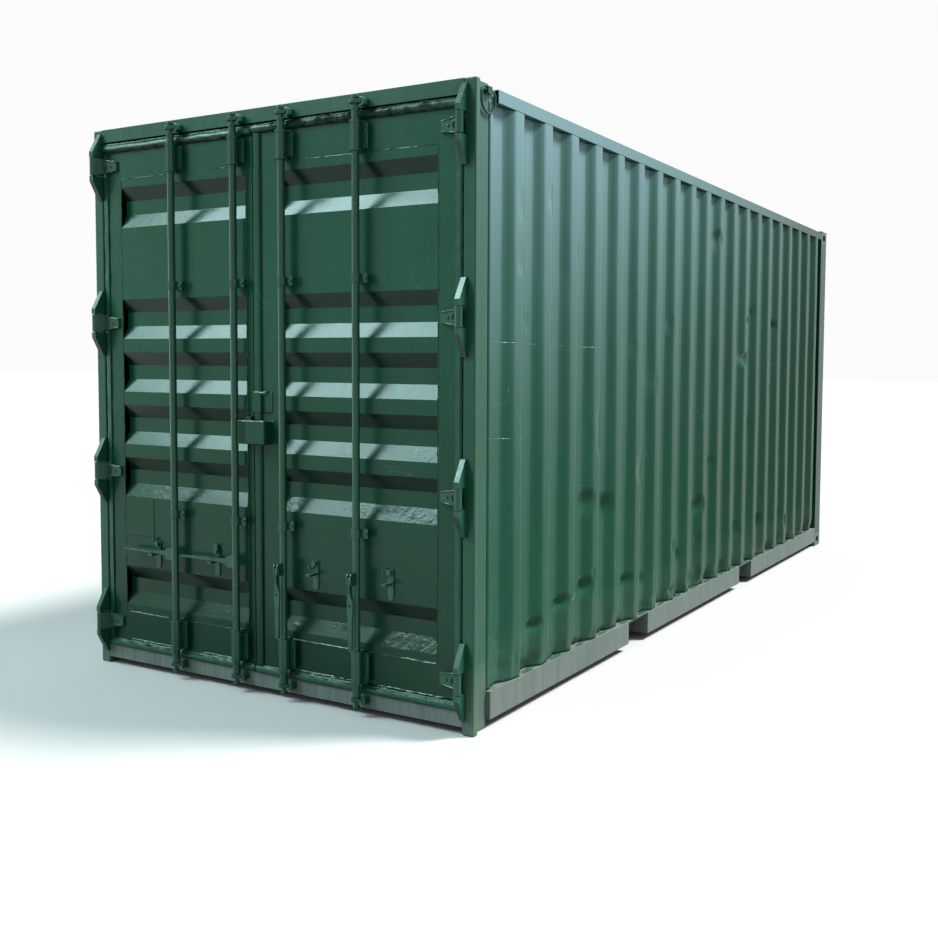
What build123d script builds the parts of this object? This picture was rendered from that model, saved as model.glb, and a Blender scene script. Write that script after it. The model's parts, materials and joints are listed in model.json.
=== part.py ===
from build123d import *
from math import cos, radians, sin
import os

os.makedirs("parts", exist_ok=True)

# Twenty-foot high-cube shipping container, millimetres, +Z up.
# X runs along the doors (+X is the right door), +Y runs from the doors into the container.
# The sizes below are measured from the front plane of the door-end posts (y = 0), and every
# node is moved at the end so that the origin lies under the middle of the whole box.

# Overall box
box_length = 6058.0
box_width = 2438.0
box_height = 2896.0

# Sheet and plate thicknesses
wall_sheet = 2.0
roof_sheet = 2.0
door_sheet = 3.0
rail_plate = 5.0
frame_plate = 4.0

# Door-end frame
post_width = 62.0
post_depth = 139.0
post_plate = 6.0
post_lip = 37.0
post_lip_start = 76.0
post_nose = 36.0
post_recess = 22.0
sill_bottom = 36.0
sill_top = 108.0
sill_ledge = 78.0
sill_depth = 150.0
header_face = 69.0
header_depth = 150.0
header_lip = 31.0

# Floor and underframe
rail_bottom = 40.0
rail_top = 170.0
rail_flange = 48.0
floor_thickness = 28.0
cross_count = 13
cross_width = 45.0
cross_height = 102.0
pocket_first = 1823.0
pocket_spacing = 2012.0
pocket_width = 280.0
pocket_plate = 8.0

# Corrugated side walls
side_ribs = 20
side_depth = 36.0
side_outer_flat = 76.0
side_slope = 68.0
side_first_rib = 342.0
side_last_gap = 43.6
side_edge_strip = 43.0
side_edge_slope = 14.0

# Corrugated end wall
end_ribs = 8
end_inset = 12.0
end_depth = 46.0
end_outer_flat = 110.0
end_slope = 18.0
end_margin = 194.0

# Roof and top rails
top_rail_size = 60.0
top_rail_drop = 16.0
top_rail_start = 187.0
roof_drop = 12.0
roof_pitch = 209.0
roof_depth = 20.0
roof_flat = 90.0
roof_slope = 14.5

# Corner castings and rear frame
casting_length = 178.0
casting_width = 162.0
casting_height = 118.0
casting_wall = 16.0
casting_slot_length = 124.0
casting_slot_width = 63.5
casting_side_slot_length = 79.0
casting_side_slot_width = 51.0
rear_post_width = 150.0
rear_post_depth = 100.0
rear_post_inset = 4.0
rear_rail_size = 100.0
rear_rail_drop = 10.0

# Door seals
seal_width = 32.0
seal_side_width = 36.0
seal_front = 0.0
seal_depth = 42.0
seal_round = 14.0
seal_gap_top = 5.0
seal_gap_bottom = 6.0
seal_gap_side = 6.0
seal_tube = 22.0
seal_bulge = 12.0
seal_tube_end = 7.0
seal_tube_rise_right = 5.0
seal_tube_rise_left = -2.0

# Door leaves
leaf_face = 7.0
leaf_depth = 50.0
leaf_gap_centre = -77.0
leaf_gap = 12.0
hinge_stile = 93.0
left_lock_stile = 40.0
right_lock_stile = 153.0
leaf_rail_top = 163.0
leaf_rail_bottom = 159.0
stile_plate = 4.0
trough_pitch = 282.0
trough_outer = 212.0
trough_inner = 74.0
trough_depth = 36.0
trough_drop = 5.0
trough_end_rise = 304.0
trough_end_drop = 314.0
bead_width = 47.0
bead_depth = 15.0
bead_round = 14.0

# Hinges
hinge_rises = (99.0, 922.0)
hinge_drops = (925.0, 93.0)
pin_inset = 8.0
pin_y = -50.0
pin_radius = 9.0
pin_clearance = 0.4
knuckle_radius = 18.0
knuckle_height = 92.0
blade_length = 125.0
blade_tip_height = 52.0
blade_neck_height = 76.0
blade_neck = 16.0
blade_plate = 12.0
blade_rise = 9.0
blade_heel = 2.0
blade_cheek = 12.0
blade_shoulder = 4.0
lug_gap = 3.0
lug_height = 125.0
lug_width = 28.0
lug_nose = 14.0
lug_tip = 12.0

# Locking bars
bar_x = (-596.0, -168.0, 145.0, 593.0)
bar_y = -38.0
bar_radius = 18.0
bar_drop = 12.0
bar_top_gap = 5.0
collar_radius = 21.0
collar_height = 12.0
stub_radius = 11.0
stub_length = 54.0
stub_sides = 12
cam_sides = 16
cam_radius = 24.0
cam_offset = 6.0
cam_reach = 33.0
cam_nose = 7.0
cam_height = 16.0
cam_drop = 34.0
cam_rise = 11.0
nut_radius = 15.0
nut_height = 12.0

# Cam keepers
keeper_offset = 26.0
keeper_width = 24.0
keeper_depth = 42.0
keeper_height = 38.0
keeper_gap = 5.0
keeper_corner = 6.0

# Bar guides
guide_rises = (13.0, 168.0)
guide_drops = (164.0, 26.0)
guide_radius = 25.0
guide_collar = 2.5
guide_collar_height = 12.0
guide_clearance = 0.8
guide_foot = 26.0
guide_sides = 8
bore_sides = 16
flange_front = -18.0
flange_plate = 8.0
flange_reach = 54.0
flange_pad = 40.0
flange_inset = 12.0
flange_bolt = 36.0
flange_bolt_shares = (0.18, 0.5, 0.82)
clamp_rise = 724.0
clamp_drop = 740.0
clamp_height = 42.0
clamp_radius = 23.0
clamp_front = -30.0
clamp_reach = 60.0
clamp_pad = 36.0
clamp_bolt = 47.0
bolt_radius = 8.0
bolt_height = 6.0
hex_sides = 6

# Handles
handle_rise = 514.0
hub_reach = 45.0
hub_width = 26.0
hub_height = 58.0
fork_floor = 3.0
fork_gap = 1.0
handle_space = 48.0
handle_width = 34.0
handle_plate = 9.0
handle_pin = 7.0
handle_eye = 12.0
handle_end = 11.0
twist_start = 60.0
twist_end = 105.0
handle_flat = 36.0
handle_taper = 74.0
padlock_hole = 6.0

# Handle catches
catch_offset = 168.0
catch_width = 34.0
catch_plate = 6.0
catch_above = 52.0
catch_below = 94.0
shelf_gap = 5.0
shelf_thickness = 12.0
shelf_reach = 56.0
shelf_inset = 4.0
catch_pin_radius = 7.0
catch_pin_head = 12.0
catch_pin_head_height = 5.0
catch_pin_gap = 2.0
catch_lug_gap = 1.0
catch_lug_length = 40.0
catch_lug_width = 24.0
catch_lug_plate = 9.0
catch_lug_corner = 7.0
catch_paddle = 8.0
catch_paddle_reach = 16.0
catch_angles = (140, 90, 215, 175)

# Lock box and plates on the doors
lock_left = -140.0
lock_right = 36.0
lock_rise = 1112.0
lock_height = 117.0
lock_front = -50.0
lock_wall = 5.0
lock_slit = 8.0
lock_slab_front = -18.0
lock_slab_rise = 18.0
lock_slab_height = 93.0
cover_left = -74.0
cover_right = 44.0
cover_rise = 1268.0
cover_height = 102.0
cover_plate = 4.0
plate_inset = 105.0
plate_width = 210.0
plate_rise = 580.0
plate_height = 204.0
blank_plate = 3.0

# Lifting rings
ring_y = 117.0
ring_drop = 18.0
ring_width = 116.0
ring_length = 100.0
ring_bend = 12.0
ring_rod = 6.0
ring_sides = 8
ring_steps = 10
ring_offset = 11.0
ring_lug_width = 34.0
ring_lug_height = 32.0
ring_clearance = 1.0

# Sizes that follow from the ones above
half_width = box_width / 2
post_inner = half_width - post_width
casting_start = box_length - casting_length
header_bottom = box_height - header_face
header_lip_bottom = header_bottom - header_lip
top_rail_top = box_height - top_rail_drop
roof_top = box_height - roof_drop
floor_bottom = rail_top - floor_thickness
cross_bottom = floor_bottom - cross_height
cross_reach = half_width - rail_flange
pocket_centres = (pocket_first, pocket_first + pocket_spacing)
leaf_bottom = sill_top + seal_width + seal_gap_bottom
leaf_top = header_bottom - seal_width - seal_gap_top
leaf_side = post_inner - seal_side_width - seal_gap_side
gap_left = leaf_gap_centre - leaf_gap / 2
gap_right = leaf_gap_centre + leaf_gap / 2
hinge_heights = [leaf_bottom + rise for rise in hinge_rises] + [leaf_top - drop for drop in hinge_drops]
pin_x = post_inner + pin_inset
pin_bore = pin_radius + pin_clearance
bar_bottom = sill_top - bar_drop
bar_top = header_bottom - bar_top_gap
cam_low = sill_top - cam_drop
cam_high = header_bottom + cam_rise
gear_front = bar_y - hub_reach - hub_width / 2
handle_z = leaf_bottom + handle_rise
handle_length = bar_x[1] - bar_x[0] - hub_reach - handle_space
catch_top = handle_z + catch_above
catch_bottom = handle_z - catch_below
lock_bottom = leaf_bottom + lock_rise
lock_top = lock_bottom + lock_height
ring_z = top_rail_top - ring_drop
trough_middle = (leaf_bottom + leaf_top) / 2 - trough_drop
trough_steps = (-1.5, -0.5, 0.5, 1.5)
trough_centres = (
    [leaf_bottom + trough_end_rise]
    + [trough_middle + step * trough_pitch for step in trough_steps]
    + [leaf_top - trough_end_drop]
)
middle_y = (gear_front + box_length) / 2


def block(x0, x1, y0, y1, z0, z1):
    """A box between two corners."""
    return Pos(x0, y0, z0) * Box(x1 - x0, y1 - y0, z1 - z0, align=(Align.MIN, Align.MIN, Align.MIN))


def rod_x(y, z, x0, x1, radius):
    """A round bar along X."""
    return Pos(x0, y, z) * Rot(0, 90, 0) * Cylinder(radius, x1 - x0, align=(Align.CENTER, Align.CENTER, Align.MIN))


def rod_y(x, z, y0, y1, radius):
    """A round bar along Y."""
    return Pos(x, y0, z) * Rot(-90, 0, 0) * Cylinder(radius, y1 - y0, align=(Align.CENTER, Align.CENTER, Align.MIN))


def rod_z(x, y, z0, z1, radius):
    """An upright round bar."""
    return Pos(x, y, z0) * Cylinder(radius, z1 - z0, align=(Align.CENTER, Align.CENTER, Align.MIN))


def prism_z(x, y, z0, z1, radius, sides):
    """An upright bar with flat sides that stand at the radius."""
    outline = RegularPolygon(radius, sides, major_radius=False, rotation=180 / sides)
    return Pos(x, y, z0) * extrude(outline, z1 - z0)


def bolt_head(x, y, z):
    """A hexagonal head that stands forward from a face."""
    return Pos(x, y, z) * Rot(90, 0, 0) * extrude(RegularPolygon(bolt_radius, hex_sides), bolt_height)


def plan(points, z0, z1):
    """A closed outline in X and Y, raised from z0 to z1."""
    face = make_face(Polyline(*[(x, y) for x, y in points], close=True))
    return Pos(0, 0, z0) * extrude(face, z1 - z0, dir=(0, 0, 1))


def front(points, y0, y1):
    """A closed outline in X and Z, drawn from y0 back to y1."""
    face = make_face(Polyline(*[(x, 0, z) for x, z in points], close=True))
    return Pos(0, y0, 0) * extrude(face, y1 - y0, dir=(0, 1, 0))


def side(points, x0, x1):
    """A closed outline in Y and Z, drawn from x0 across to x1."""
    face = make_face(Polyline(*[(0, y, z) for y, z in points], close=True))
    return Pos(x0, 0, 0) * extrude(face, x1 - x0, dir=(1, 0, 0))


def mirrored(shape):
    """The same piece on the other side of the container."""
    return mirror(shape, about=Plane.YZ)


def group(shapes):
    """Like pieces that don't touch, kept as one node."""
    return Compound([solid for shape in shapes for solid in shape.solids()])


# Door-end frame
def door_post():
    """Right post: a tube with a rounded nose, a side face set back behind it and an inner lip."""
    outline = [
        (post_inner, 0),
        (half_width, 0),
        (half_width, post_nose),
        (half_width - post_recess, post_nose),
        (half_width - post_recess, post_depth),
        (post_inner - post_lip, post_depth),
        (post_inner - post_lip, post_lip_start),
        (post_inner, post_lip_start),
    ]
    post = plan(outline, 0, box_height)
    nose = post.edges().filter_by(Axis.Z).group_by(Axis.Y)[0]
    post = fillet(nose, post_plate)
    hollow = block(
        post_inner + post_plate,
        half_width - post_recess - post_plate,
        post_plate,
        post_depth - post_plate,
        rail_top,
        box_height - post_plate,
    )
    return post - hollow


def door_sill():
    """Sill: a front face, a ledge that the leaves close over and an upstand behind them."""
    outline = [
        (0, sill_bottom),
        (0, sill_top),
        (sill_ledge, sill_top),
        (sill_ledge, rail_top),
        (sill_depth, rail_top),
        (sill_depth, rail_top - rail_plate),
        (sill_ledge + rail_plate, rail_top - rail_plate),
        (sill_ledge + rail_plate, sill_top - rail_plate),
        (rail_plate, sill_top - rail_plate),
        (rail_plate, sill_bottom + rail_plate),
        (rail_flange, sill_bottom + rail_plate),
        (rail_flange, sill_bottom),
    ]
    inner = side(outline, -post_inner + post_lip, post_inner - post_lip)
    nose = block(-post_inner, post_inner, 0, post_lip_start, sill_bottom, sill_top)
    nose -= block(-post_inner, post_inner, rail_plate, post_lip_start, sill_bottom, sill_top - rail_plate)
    return inner + nose


def door_header():
    """Header: a front plate above the doors, a top plate and a lip behind the leaves."""
    outline = [
        (0, header_bottom),
        (0, box_height),
        (header_depth, box_height),
        (header_depth, box_height - rail_plate),
        (rail_plate, box_height - rail_plate),
        (rail_plate, header_bottom + rail_plate),
        (sill_ledge, header_bottom + rail_plate),
        (sill_ledge, header_lip_bottom + rail_plate),
        (header_depth, header_lip_bottom + rail_plate),
        (header_depth, header_lip_bottom),
        (sill_ledge - rail_plate, header_lip_bottom),
        (sill_ledge - rail_plate, header_bottom),
    ]
    inner = side(outline, -post_inner + post_lip, post_inner - post_lip)
    nose_back = post_lip_start - rail_plate
    nose = block(-post_inner, post_inner, 0, nose_back, header_bottom, box_height)
    nose -= block(
        -post_inner,
        post_inner,
        rail_plate,
        nose_back,
        header_bottom + rail_plate,
        box_height - rail_plate,
    )
    return inner + nose


# Underframe and floor
def bottom_rail():
    """Right bottom side rail: closed channel lengths between the post, the fork pockets and the casting."""
    ends = [post_depth]
    for centre in pocket_centres:
        ends += [centre - pocket_width / 2, centre + pocket_width / 2]
    ends.append(casting_start)
    lengths = []
    for low, high in zip(ends[0::2], ends[1::2]):
        length = block(cross_reach, half_width, low, high, rail_bottom, rail_top)
        length -= block(
            cross_reach,
            half_width - rail_plate,
            low + pocket_plate,
            high - pocket_plate,
            rail_bottom + rail_plate,
            rail_top - rail_plate,
        )
        lengths.append(length)
    return group(lengths)


def fork_pocket(centre):
    """Top plate of a fork pocket, folded up at both ends to close the gap under the side walls."""
    outline = [
        (0, floor_bottom - pocket_plate),
        (cross_reach + rail_plate, floor_bottom - pocket_plate),
        (cross_reach + rail_plate, rail_top - rail_plate),
        (half_width - rail_plate, rail_top - rail_plate),
        (half_width - rail_plate, rail_top),
        (cross_reach, rail_top),
        (cross_reach, floor_bottom),
        (0, floor_bottom),
    ]
    half = front(outline, centre - pocket_width / 2, centre + pocket_width / 2)
    return half + mirrored(half)


def pocket_web(y):
    """Upright plate beside a fork pocket."""
    return block(-cross_reach, cross_reach, y, y + pocket_plate, rail_bottom, floor_bottom)


def cross_member(y):
    """A channel between the two bottom side rails."""
    outline = [
        (y, cross_bottom),
        (y + cross_width, cross_bottom),
        (y + cross_width, cross_bottom + frame_plate),
        (y + frame_plate, cross_bottom + frame_plate),
        (y + frame_plate, floor_bottom - frame_plate),
        (y + cross_width, floor_bottom - frame_plate),
        (y + cross_width, floor_bottom),
        (y, floor_bottom),
    ]
    return side(outline, -cross_reach, cross_reach)


def cross_members():
    """Webs beside the fork pockets, and channels evenly spaced in each bay between them."""
    near = sill_depth + cross_width
    far = casting_start - cross_width
    bays = [near]
    webs = []
    for centre in pocket_centres:
        low_web = centre - pocket_width / 2 - pocket_plate
        high_web = centre + pocket_width / 2
        webs += [pocket_web(low_web), pocket_web(high_web)]
        bays += [low_web, high_web + pocket_plate]
    bays.append(far)
    members = []
    for low, high in zip(bays[0::2], bays[1::2]):
        count = max(1, round(cross_count * (high - low) / (far - near)))
        step = (high - low - cross_width) / (count + 1)
        members += [cross_member(low + step * (index + 1)) for index in range(count)]
    return group(webs + members)


# Corrugated walls and roof
def side_wall():
    """Right side wall: one pressed sheet between the top and bottom rails, ribs standing outwards."""
    ribs_end = casting_start - side_last_gap - side_slope - side_outer_flat
    pitch = (ribs_end - side_first_rib) / (side_ribs - 1)
    edge_end = post_depth + side_edge_strip
    line = [(post_depth, half_width - post_recess), (edge_end, half_width - post_recess)]
    line.append((edge_end + side_edge_slope, half_width - side_depth))
    for rib in range(side_ribs):
        start = side_first_rib + rib * pitch
        line.append((start - side_slope, half_width - side_depth))
        line.append((start, half_width))
        line.append((start + side_outer_flat, half_width))
        line.append((start + side_outer_flat + side_slope, half_width - side_depth))
    line.append((casting_start, half_width - side_depth))
    outline = [(x, y) for y, x in line] + [(x - wall_sheet, y) for y, x in reversed(line)]
    return plan(outline, rail_top, top_rail_top - top_rail_size)


def end_wall():
    """Rear wall: deep upright corrugations between the rear posts."""
    reach = half_width - rear_post_width
    outer = box_length - end_inset
    pitch = 2 * (reach - end_margin) / (end_ribs - 1)
    line = [(-reach, outer - end_depth)]
    for rib in range(end_ribs):
        centre = (rib - (end_ribs - 1) / 2) * pitch
        line.append((centre - end_outer_flat / 2 - end_slope, outer - end_depth))
        line.append((centre - end_outer_flat / 2, outer))
        line.append((centre + end_outer_flat / 2, outer))
        line.append((centre + end_outer_flat / 2 + end_slope, outer - end_depth))
    line.append((reach, outer - end_depth))
    outline = line + [(x, y - wall_sheet) for x, y in reversed(line)]
    return plan(outline, casting_height, box_height - casting_height)


def roof():
    """Roof: cross corrugations between the header and the rear castings."""
    low = roof_top - roof_depth
    line = [(header_depth, low)]
    count = int((casting_start - header_depth - roof_pitch) / roof_pitch)
    first = (header_depth + casting_start - (count - 1) * roof_pitch) / 2
    for rib in range(count):
        centre = first + rib * roof_pitch
        line.append((centre - roof_flat / 2 - roof_slope, low))
        line.append((centre - roof_flat / 2, roof_top))
        line.append((centre + roof_flat / 2, roof_top))
        line.append((centre + roof_flat / 2 + roof_slope, low))
    line.append((casting_start, low))
    outline = line + [(y, z - roof_sheet) for y, z in reversed(line)]
    reach = half_width - top_rail_size
    return side(outline, -reach, reach)


def top_rail():
    """Right top side rail: a square tube from the lifting ring's notch to the rear casting."""
    low = top_rail_top - top_rail_size
    inner = half_width - top_rail_size
    tube = block(inner, half_width, top_rail_start, casting_start, low, top_rail_top)
    tube -= block(
        inner + frame_plate,
        half_width - frame_plate,
        top_rail_start,
        casting_start,
        low + frame_plate,
        top_rail_top - frame_plate,
    )
    stub = block(inner, half_width - post_recess, post_depth, top_rail_start, low, top_rail_top)
    return tube + stub


# Rear frame
def slot_hole(length, width):
    """A long hole with round ends through a casting's wall, drawn along Z."""
    return extrude(SlotOverall(length, width), casting_wall)


def corner_casting(right, top):
    """A cast corner box with a slot in its top or bottom, its side and its end."""
    low = box_height - casting_height if top else 0.0
    body = block(half_width - casting_width, half_width, casting_start, box_length, low, low + casting_height)
    body -= block(
        half_width - casting_width + casting_wall,
        half_width - casting_wall,
        casting_start + casting_wall,
        box_length - casting_wall,
        low + casting_wall,
        low + casting_height - casting_wall,
    )
    mid_x = half_width - casting_width / 2
    mid_y = casting_start + casting_length / 2
    mid_z = low + casting_height / 2
    lid_z = low + casting_height - casting_wall if top else low
    body -= Pos(mid_x, mid_y, lid_z) * Rot(0, 0, 90) * slot_hole(casting_slot_length, casting_slot_width)
    side_slot = slot_hole(casting_side_slot_length, casting_side_slot_width)
    body -= Pos(half_width - casting_wall, mid_y, mid_z) * Rot(0, 90, 0) * Rot(0, 0, 90) * side_slot
    body -= Pos(mid_x, box_length, mid_z) * Rot(90, 0, 0) * side_slot
    return body if right else mirrored(body)


def rear_post():
    """Right rear post: a folded channel between the two castings."""
    low = casting_height
    high = box_height - casting_height
    start = box_length - rear_post_depth
    outer = box_length - rear_post_inset
    post = block(half_width - rear_post_width, half_width, start, outer, low, high)
    post -= block(
        half_width - rear_post_width,
        half_width - post_plate,
        start,
        outer - post_plate,
        low,
        high,
    )
    wing_inner = half_width - side_depth - wall_sheet - post_plate
    wing = block(wing_inner, half_width, casting_start, start, low, high)
    wing -= block(wing_inner, half_width - post_plate, casting_start, start, low, high)
    return post + wing


def rear_rail(low, high):
    """A tube between the two rear castings."""
    reach = half_width - casting_width
    start = box_length - rear_rail_size
    tube = block(-reach, reach, start, box_length, low, high)
    return tube - block(
        -reach,
        reach,
        start + frame_plate,
        box_length - frame_plate,
        low + frame_plate,
        high - frame_plate,
    )


def rear_header():
    """Top tube of the rear frame, with a plate that carries the end of the roof between the castings."""
    reach = half_width - casting_width
    low = roof_top - roof_depth - roof_sheet
    plate = block(-reach, reach, casting_start, box_length - rear_rail_size, low, low + frame_plate)
    return plate + rear_rail(box_height - casting_height, box_height - rear_rail_drop)


# Door leaves
def leaf_frame(x0, x1, left_stile, right_stile):
    """Two tube stiles joined by channel rails that open inwards."""
    back = leaf_face + leaf_depth
    inner_left = x0 + left_stile
    inner_right = x1 - right_stile
    panel_low = leaf_bottom + leaf_rail_bottom
    panel_high = leaf_top - leaf_rail_top
    frame = block(x0, x1, leaf_face, back, leaf_bottom, leaf_top)
    frame -= block(inner_left, inner_right, leaf_face, back, panel_low, panel_high)
    for low, high in ((leaf_bottom, panel_low), (panel_high, leaf_top)):
        frame -= block(
            inner_left, inner_right, leaf_face + stile_plate, back, low + stile_plate, high - stile_plate
        )
    for start, width in ((x0, left_stile), (inner_right, right_stile)):
        frame -= block(
            start + stile_plate,
            start + width - stile_plate,
            leaf_face + stile_plate,
            back - stile_plate,
            leaf_bottom,
            leaf_top,
        )
    return frame


def leaf_panel(x0, x1):
    """Pressed panel: six level troughs that step into the container."""
    line = [(leaf_face, leaf_bottom + leaf_rail_bottom)]
    for centre in trough_centres:
        line.append((leaf_face, centre - trough_outer / 2))
        line.append((leaf_face + trough_depth, centre - trough_inner / 2))
        line.append((leaf_face + trough_depth, centre + trough_inner / 2))
        line.append((leaf_face, centre + trough_outer / 2))
    line.append((leaf_face, leaf_top - leaf_rail_top))
    outline = line + [(y + door_sheet, z) for y, z in reversed(line)]
    return side(outline, x0, x1)


def door_seal(x0, x1, side_left, side_right, tube_rise):
    """Rubber seal round the edge of a leaf, with a fat tube along its top and its bottom."""
    back = seal_front + seal_depth
    low = leaf_bottom - seal_width
    high = leaf_top + seal_width
    ring = block(x0 - side_left, x1 + side_right, seal_front, back, low, high)
    ring = fillet(ring.faces().sort_by(Axis.Y)[0].edges(), seal_round)
    ring -= block(x0, x1, seal_front, back, leaf_bottom, leaf_top)
    start = x0 - max(side_left - seal_tube_end, 0)
    end = x1 + max(side_right - seal_tube_end, 0)
    tube_y = seal_front - seal_bulge + seal_tube
    for z in (leaf_bottom - seal_tube, leaf_top + tube_rise):
        tube = rod_x(tube_y, z, start, end, seal_tube)
        tube -= block(start, end, leaf_face, back, leaf_bottom, leaf_top)
        tube -= block(start, end, seal_front - seal_gap_bottom, back, sill_bottom, low)
        ring += tube
    return ring


def overlap_bead():
    """Half-round strip down the leading edge of the right leaf, from one seal tube to the other."""
    top = leaf_top + seal_tube_rise_right - seal_tube
    strip = block(gap_right, gap_right + bead_width, leaf_face - bead_depth, leaf_face, leaf_bottom, top)
    return fillet(strip.edges().filter_by(Axis.Z).group_by(Axis.Y)[0], bead_round)


# Hinges
def hinge_blade(z):
    """Strap hinge half on the right leaf: a tapered blade that rises to a knuckle round the pin."""
    tip = pin_x - blade_length
    neck = pin_x - knuckle_radius - blade_neck
    heel = leaf_side - blade_heel
    face = leaf_face - blade_plate
    outline = [
        (tip, leaf_face),
        (tip, face),
        (neck, face - blade_rise),
        (pin_x - knuckle_radius, pin_y - blade_shoulder),
        (pin_x, pin_y - blade_shoulder),
        (pin_x, pin_y + knuckle_radius),
        (pin_x - blade_cheek, seal_front - blade_rise),
        (heel, seal_front - lug_gap),
        (heel, leaf_face),
    ]
    low = z - knuckle_height / 2
    high = z + knuckle_height / 2
    blade = plan(outline, low, high)
    taper = front(
        [
            (tip, z - blade_tip_height / 2),
            (neck, z - blade_neck_height / 2),
            (pin_x - knuckle_radius, low),
            (pin_x, low),
            (pin_x, high),
            (pin_x - knuckle_radius, high),
            (neck, z + blade_neck_height / 2),
            (tip, z + blade_tip_height / 2),
        ],
        pin_y - knuckle_radius,
        leaf_face,
    )
    blade = blade & taper
    blade += rod_z(pin_x, pin_y, low, high, knuckle_radius)
    return blade - rod_z(pin_x, pin_y, low, high, pin_bore)


def hinge_lugs(z):
    """Two wedge-shaped lugs on the right post with the pin through them."""
    pin_end = knuckle_height / 2 + lug_gap + lug_width
    lugs = rod_z(pin_x, pin_y, z - pin_end, z + pin_end, pin_radius)
    for up in (1, -1):
        near = z + up * (knuckle_height / 2 + lug_gap)
        boss = near + up * lug_width
        far = near + up * lug_height
        outline = [(0, near), (pin_y - lug_nose, near), (pin_y - lug_nose, boss), (-lug_tip, far), (0, far)]
        lugs += side(outline, pin_x - lug_width / 2, pin_x + lug_width / 2)
    return lugs


# Locking gear
def locking_bar(x, turn):
    """Tube with a collar at each end and the fork that carries the handle."""
    bar = rod_z(x, bar_y, bar_bottom, bar_top, bar_radius)
    for low in (bar_bottom, bar_top - collar_height):
        bar += rod_z(x, bar_y, low, low + collar_height, collar_radius)
    reach = hub_reach + hub_width / 2
    arm = block(0, reach, -hub_width / 2, hub_width / 2, -hub_height / 2, hub_height / 2)
    arm = fillet(arm.edges().filter_by(Axis.Y).group_by(Axis.X)[-1], hub_width / 2)
    slot = handle_plate / 2 + fork_gap
    arm -= block(bar_radius + fork_floor, reach, -slot, slot, -hub_height / 2, hub_height / 2)
    arm += Pos(hub_reach, 0, 0) * Rot(90, 0, 0) * Cylinder(handle_pin, hub_width)
    return bar + Pos(x, bar_y, handle_z) * Rot(0, 0, turn) * arm


def bar_cams(x):
    """Forged ends of a bar: a stub with a lobed cam, its nose and a nut at the tip."""
    lobe = Pos(-cam_offset, 0) * RegularPolygon(cam_radius, cam_sides)
    nose = Pos(cam_reach - cam_nose, 0) * RegularPolygon(cam_nose, cam_sides)
    cam = extrude(make_hull(lobe.edges() + nose.edges()), cam_height)
    lower = prism_z(x, bar_y, bar_bottom - stub_length, bar_bottom, stub_radius, stub_sides)
    lower += prism_z(x, bar_y, bar_bottom - stub_length, bar_bottom - stub_length + nut_height, nut_radius, hex_sides)
    lower += Pos(x, bar_y, cam_low) * cam
    upper = prism_z(x, bar_y, bar_top, bar_top + stub_length, stub_radius, stub_sides)
    upper += prism_z(x, bar_y, bar_top + stub_length - nut_height, bar_top + stub_length, nut_radius, hex_sides)
    upper += Pos(x, bar_y, cam_high) * cam
    return group([lower, upper])


def cam_keeper(x, z):
    """Keeper beside a cam, with a slot that holds the cam's nose."""
    left = x + keeper_offset
    keeper = block(left, left + keeper_width, -keeper_depth, 0, z - keeper_height / 2, z + keeper_height / 2)
    keeper = chamfer(keeper.edges().filter_by(Axis.Y).group_by(Axis.X)[-1], keeper_corner)
    slot = cam_height / 2 + keeper_gap
    slot_end = x + cam_reach + keeper_gap
    return keeper - block(left, slot_end, -keeper_depth, 0, z - slot, z + slot)


def handle_blank():
    """Handle drawn along +X from its pivot: a strap on edge at the fork, twisted to lie flat in the catch."""
    half = handle_width / 2
    plate = handle_plate / 2
    centre = catch_offset - hub_reach
    taper_start = centre + handle_flat / 2
    taper_end = taper_start + handle_taper
    heights = [(0, handle_eye), (twist_start, handle_eye), (twist_end, plate), (handle_length, plate)]
    widths = [(0, plate), (twist_start, plate), (twist_end, half), (taper_start, half)]
    widths += [(taper_end, handle_eye), (handle_length, handle_end)]
    upright = front(heights + [(x, -z) for x, z in reversed(heights)], -half, half)
    level = plan(widths + [(x, -y) for x, y in reversed(widths)], -handle_eye, handle_eye)
    lever = upright & level
    lever += Rot(90, 0, 0) * Cylinder(handle_eye, handle_plate)
    lever -= Rot(90, 0, 0) * Cylinder(handle_pin + pin_clearance, handle_plate)
    return lever - Pos(centre, 0, 0) * Cylinder(padlock_hole, handle_plate)


def handle(x, side_sign, hanging):
    """A handle in its place: level in its catch, or hanging from the fork."""
    if hanging:
        lever = Rot(0, 0, -90) * Rot(0, 90, 0) * handle_blank()
        return Pos(x, bar_y - hub_reach, handle_z) * lever
    turn = 0 if side_sign > 0 else 180
    return Pos(x + side_sign * hub_reach, bar_y, handle_z) * Rot(0, 0, turn) * handle_blank()


# Guides and clamps of the bars
def bar_bore(x, low, high):
    """The many-sided hole that a bar turns in."""
    return prism_z(x, bar_y, low, high, bar_radius + guide_clearance, bore_sides)


def bar_guide(x, low, high):
    """Eight-sided housing with a collar at each end, on a foot, with a bolted flange on its right."""
    guide = prism_z(x, bar_y, low, high, guide_radius, guide_sides)
    for start in (low, high - guide_collar_height):
        guide += prism_z(x, bar_y, start, start + guide_collar_height, guide_radius + guide_collar, guide_sides)
    guide += block(x - guide_foot / 2, x + guide_foot / 2, bar_y, leaf_face, low, high)
    flange_low = low + flange_inset
    flange_high = high - flange_inset
    flange_back = flange_front + flange_plate
    start = x + guide_foot / 2
    guide += block(start, x + flange_reach, flange_front, flange_back, flange_low, flange_high)
    guide += block(start, x + flange_pad, flange_back, leaf_face, flange_low, flange_high)
    for share in flange_bolt_shares:
        guide += bolt_head(x + flange_bolt, flange_front, low + share * (high - low))
    return guide - bar_bore(x, low, high)


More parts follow.
